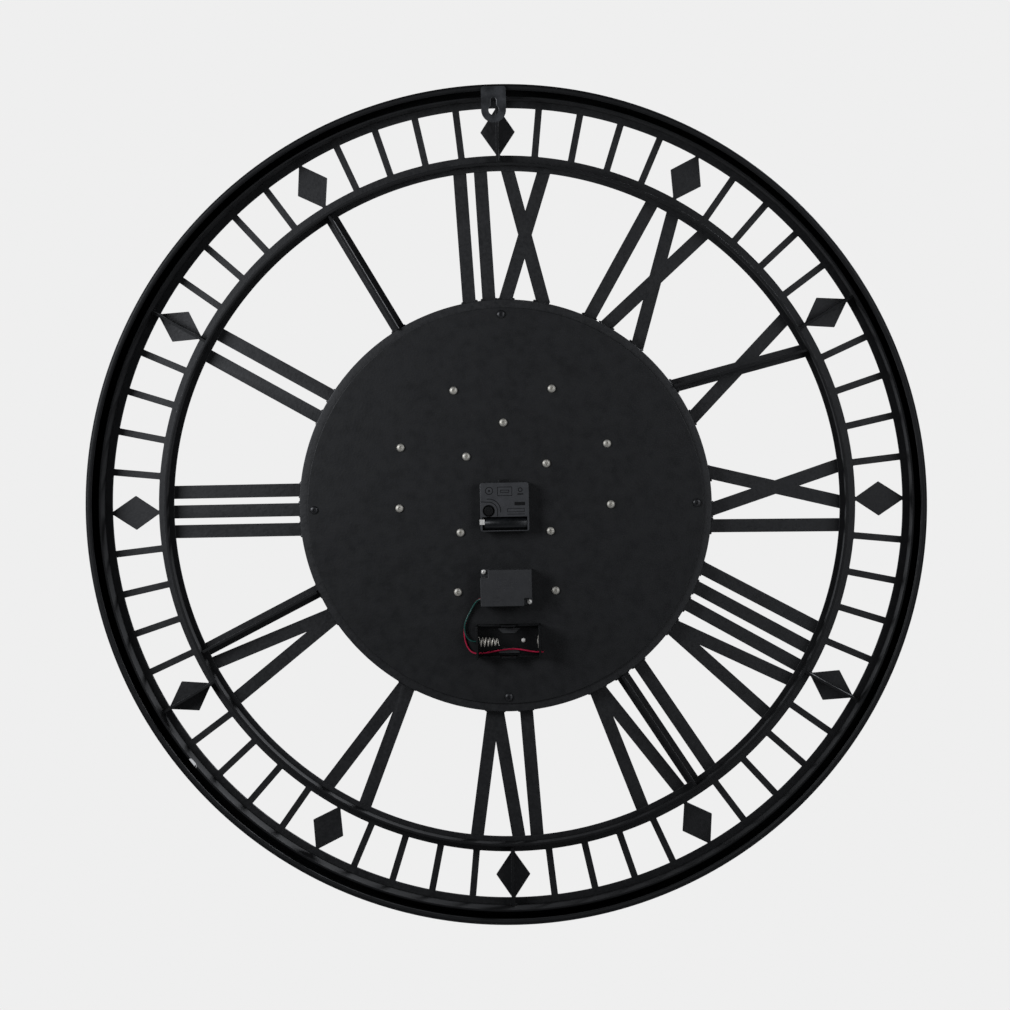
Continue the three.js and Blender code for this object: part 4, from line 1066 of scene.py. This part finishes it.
def make_motor():
    low, high = face_box("motor_case")
    centre, size = (low + high) / 2, high - low
    ears = plate([rectangle(centre.x, centre.y, size.x, size.y, 2.0)], high.z - 3, 3, 0.4)
    walls = plate([notched(low, high), notched(low, high, 2.0)], low.z, size.z - 2.5, 0.3)
    finished("motor_case_moulded", together(walls, ears), "motor_plastic", ["motor_case"])
    can_low, can_high = face_box("motor_can")
    radius, length = (can_high.y - can_low.y) / 2, can_high.x - can_low.x
    shape = [(0, 0), (MOTOR_SHAFT, 0), (MOTOR_SHAFT, 1.2), (radius, 1.2), (radius, length), (0, length)]
    can = laid(turned(eased(shape, 0.6, closed=False), 48), can_low.x, (can_low.y + can_high.y) / 2,
               (can_low.z + can_high.z) / 2)
    finished("motor_can_drawn", can, "zinc_plate", ["motor_can"], smooth=ROUND)
    back, front = (corner.z for corner in face_box("motor_cover"))
    parts = [plate([notched(low, high)], back, front - back, 0.7)]
    for x, y, wide, tall in ((-1, 4.5, 24, 11), (13, -13, 11, 5)):
        parts.append(plate(frame_outline(centre.x + x, centre.y + y, wide, tall, 0.6), back - 0.15, 0.4, 0.1))
    for y in (6.4, 4.2, 2):
        parts.append(block((centre.x - 12, centre.y + y, back - 0.12),
                           (centre.x + 10, centre.y + y + 0.5, back + 0.3), 0.05))
    finished("motor_cover_moulded", together(*parts), "motor_plastic", ["motor_cover"])


SADDLE, SADDLE_RISE, TRAY_RISE, TRAY_WALL = 24.0, 20.0, 9.0, 2.0
LEAD_HOLES = [GREEN_ROUTE[13], RED_ROUTE[14], RED_ROUTE[-2]]


def make_tray():
    low, high = face_box("battery_tray")
    centre, front = (low + high) / 2, high.z - 0.5
    # The tray's darker plastic paints the shade inside it.
    parts = [block((low.x, low.y, high.z - TRAY_WALL), (high.x, high.y, high.z), 0.4)]
    for x in (low.x, high.x - TRAY_WALL):
        wall = block((x, low.y, low.z), (x + TRAY_WALL, high.y, front), 0.35)
        for hole in LEAD_HOLES:
            if abs(hole[0] - x) < 5:
                wall = combined("DIFFERENCE", wall, laid(rod(1.5, -2, 6, 0.01, 24), x - 2, *hole[1:]))
        parts.append(wall)
    for y in (low.y, high.y - TRAY_WALL):
        parts.append(block((low.x + 0.5, y, high.z - TRAY_RISE), (high.x - 0.5, y + TRAY_WALL, front), 0.35))
        saddle = block((centre.x - SADDLE / 2, y, -front),
                       (centre.x + SADDLE / 2, y + TRAY_WALL, SADDLE_RISE - high.z), 0.3, 4.0)
        saddle.transform(Matrix.Scale(-1, 4, (0, 0, 1)))
        parts.append(saddle)
    finished("tray_moulded", together(*parts), "shade_darkened_black_plastic", ["battery_tray"])
    # The saddle lips take the lighter motor plastic, which paints the light on the saddles' edges.
    lips = []
    for side in (-1, 1):
        y = centre.y + side * ((high.y - low.y) / 2 - 7.6)
        outline = [(centre.x - 13.5, y + side * 3.2), (centre.x + 13.5, y + side * 3.2),
                   (centre.x + 7, y - side * 3), (centre.x - 7, y - side * 3)]
        lips.append(plate([eased(outline, 1.2)], high.z - TRAY_WALL - 1.4, 1.5, 0.3))
    finished("tray_saddle_lips", together(*lips), "motor_plastic", ["battery_tray"])
    rivet = turned(eased([(0, -1.8), (1.6, -1.6), (2.6, -0.4), (2.6, 0.2), (0, 0.2)], 0.3, closed=False), 32)
    finished("tray_rivet", moved(rivet, centre.x - 16.8, centre.y, high.z - TRAY_WALL), "highlight_painted_tin",
             ["battery_tray"], smooth=ROUND)


SPRING_WIRE, SPRING_TURNS, SPRING_TAPER = 1.1, 5.5, 2.3


def make_contacts():
    """The coil spring, tapering away from the tray's end, and the leaf that the other end touches."""
    low, high = face_box("coil_spring")
    centre, outer = (low + high) / 2, (high.y - low.y) / 2
    base, tip = outer - SPRING_WIRE / 2, outer - SPRING_TAPER
    curve = bpy.data.curves.new("spring", "CURVE")
    curve.dimensions, curve.use_fill_caps = "3D", True
    curve.bevel_depth, curve.bevel_resolution = SPRING_WIRE / 2, 4
    path = curve.splines.new("POLY")
    steps = int(SPRING_TURNS * 32)
    path.points.add(steps)
    for i, knot in enumerate(path.points):
        t = i / steps
        angle, radius = 2 * math.pi * SPRING_TURNS * t, base + (tip - base) * t
        x = high.x - SPRING_WIRE / 2 - (high.x - low.x - SPRING_WIRE) * t
        knot.co = (x, centre.y + radius * math.cos(angle), centre.z + radius * math.sin(angle), 1)
    coil = evaluated(linked("spring", curve))
    finished("coil_spring_wound", coil, "spring_steel", ["coil_spring"], smooth=SOFT)
    low, high = face_box("positive_contact")
    leaf = block(low, (low.x + 0.8, high.y, high.z), 0.3)
    dimple = laid(turned(eased([(0, 0), (4, 0), (2.6, 1.3), (0, 1.4)], 0.5, closed=False), 32), low.x + 0.6,
                  (low.y + high.y) / 2, (low.z + high.z) / 2)
    finished("contact_leaf", together(leaf, dimple), "zinc_plate", ["positive_contact"], smooth=ROUND)


# ---------------------------------------------------------------- making it all
make_rim()
make_track()
make_chapter_frame()
for number in NUMERALS:
    make_numeral(number)
make_hanger()
make_drum()
make_disc()
make_fasteners()
make_gears()
make_cog_ring()
make_movement()
make_cell()
make_knob()
make_hands()
make_motor()
make_tray()
make_contacts()
bpy.context.scene.view_settings.view_transform = "Standard"
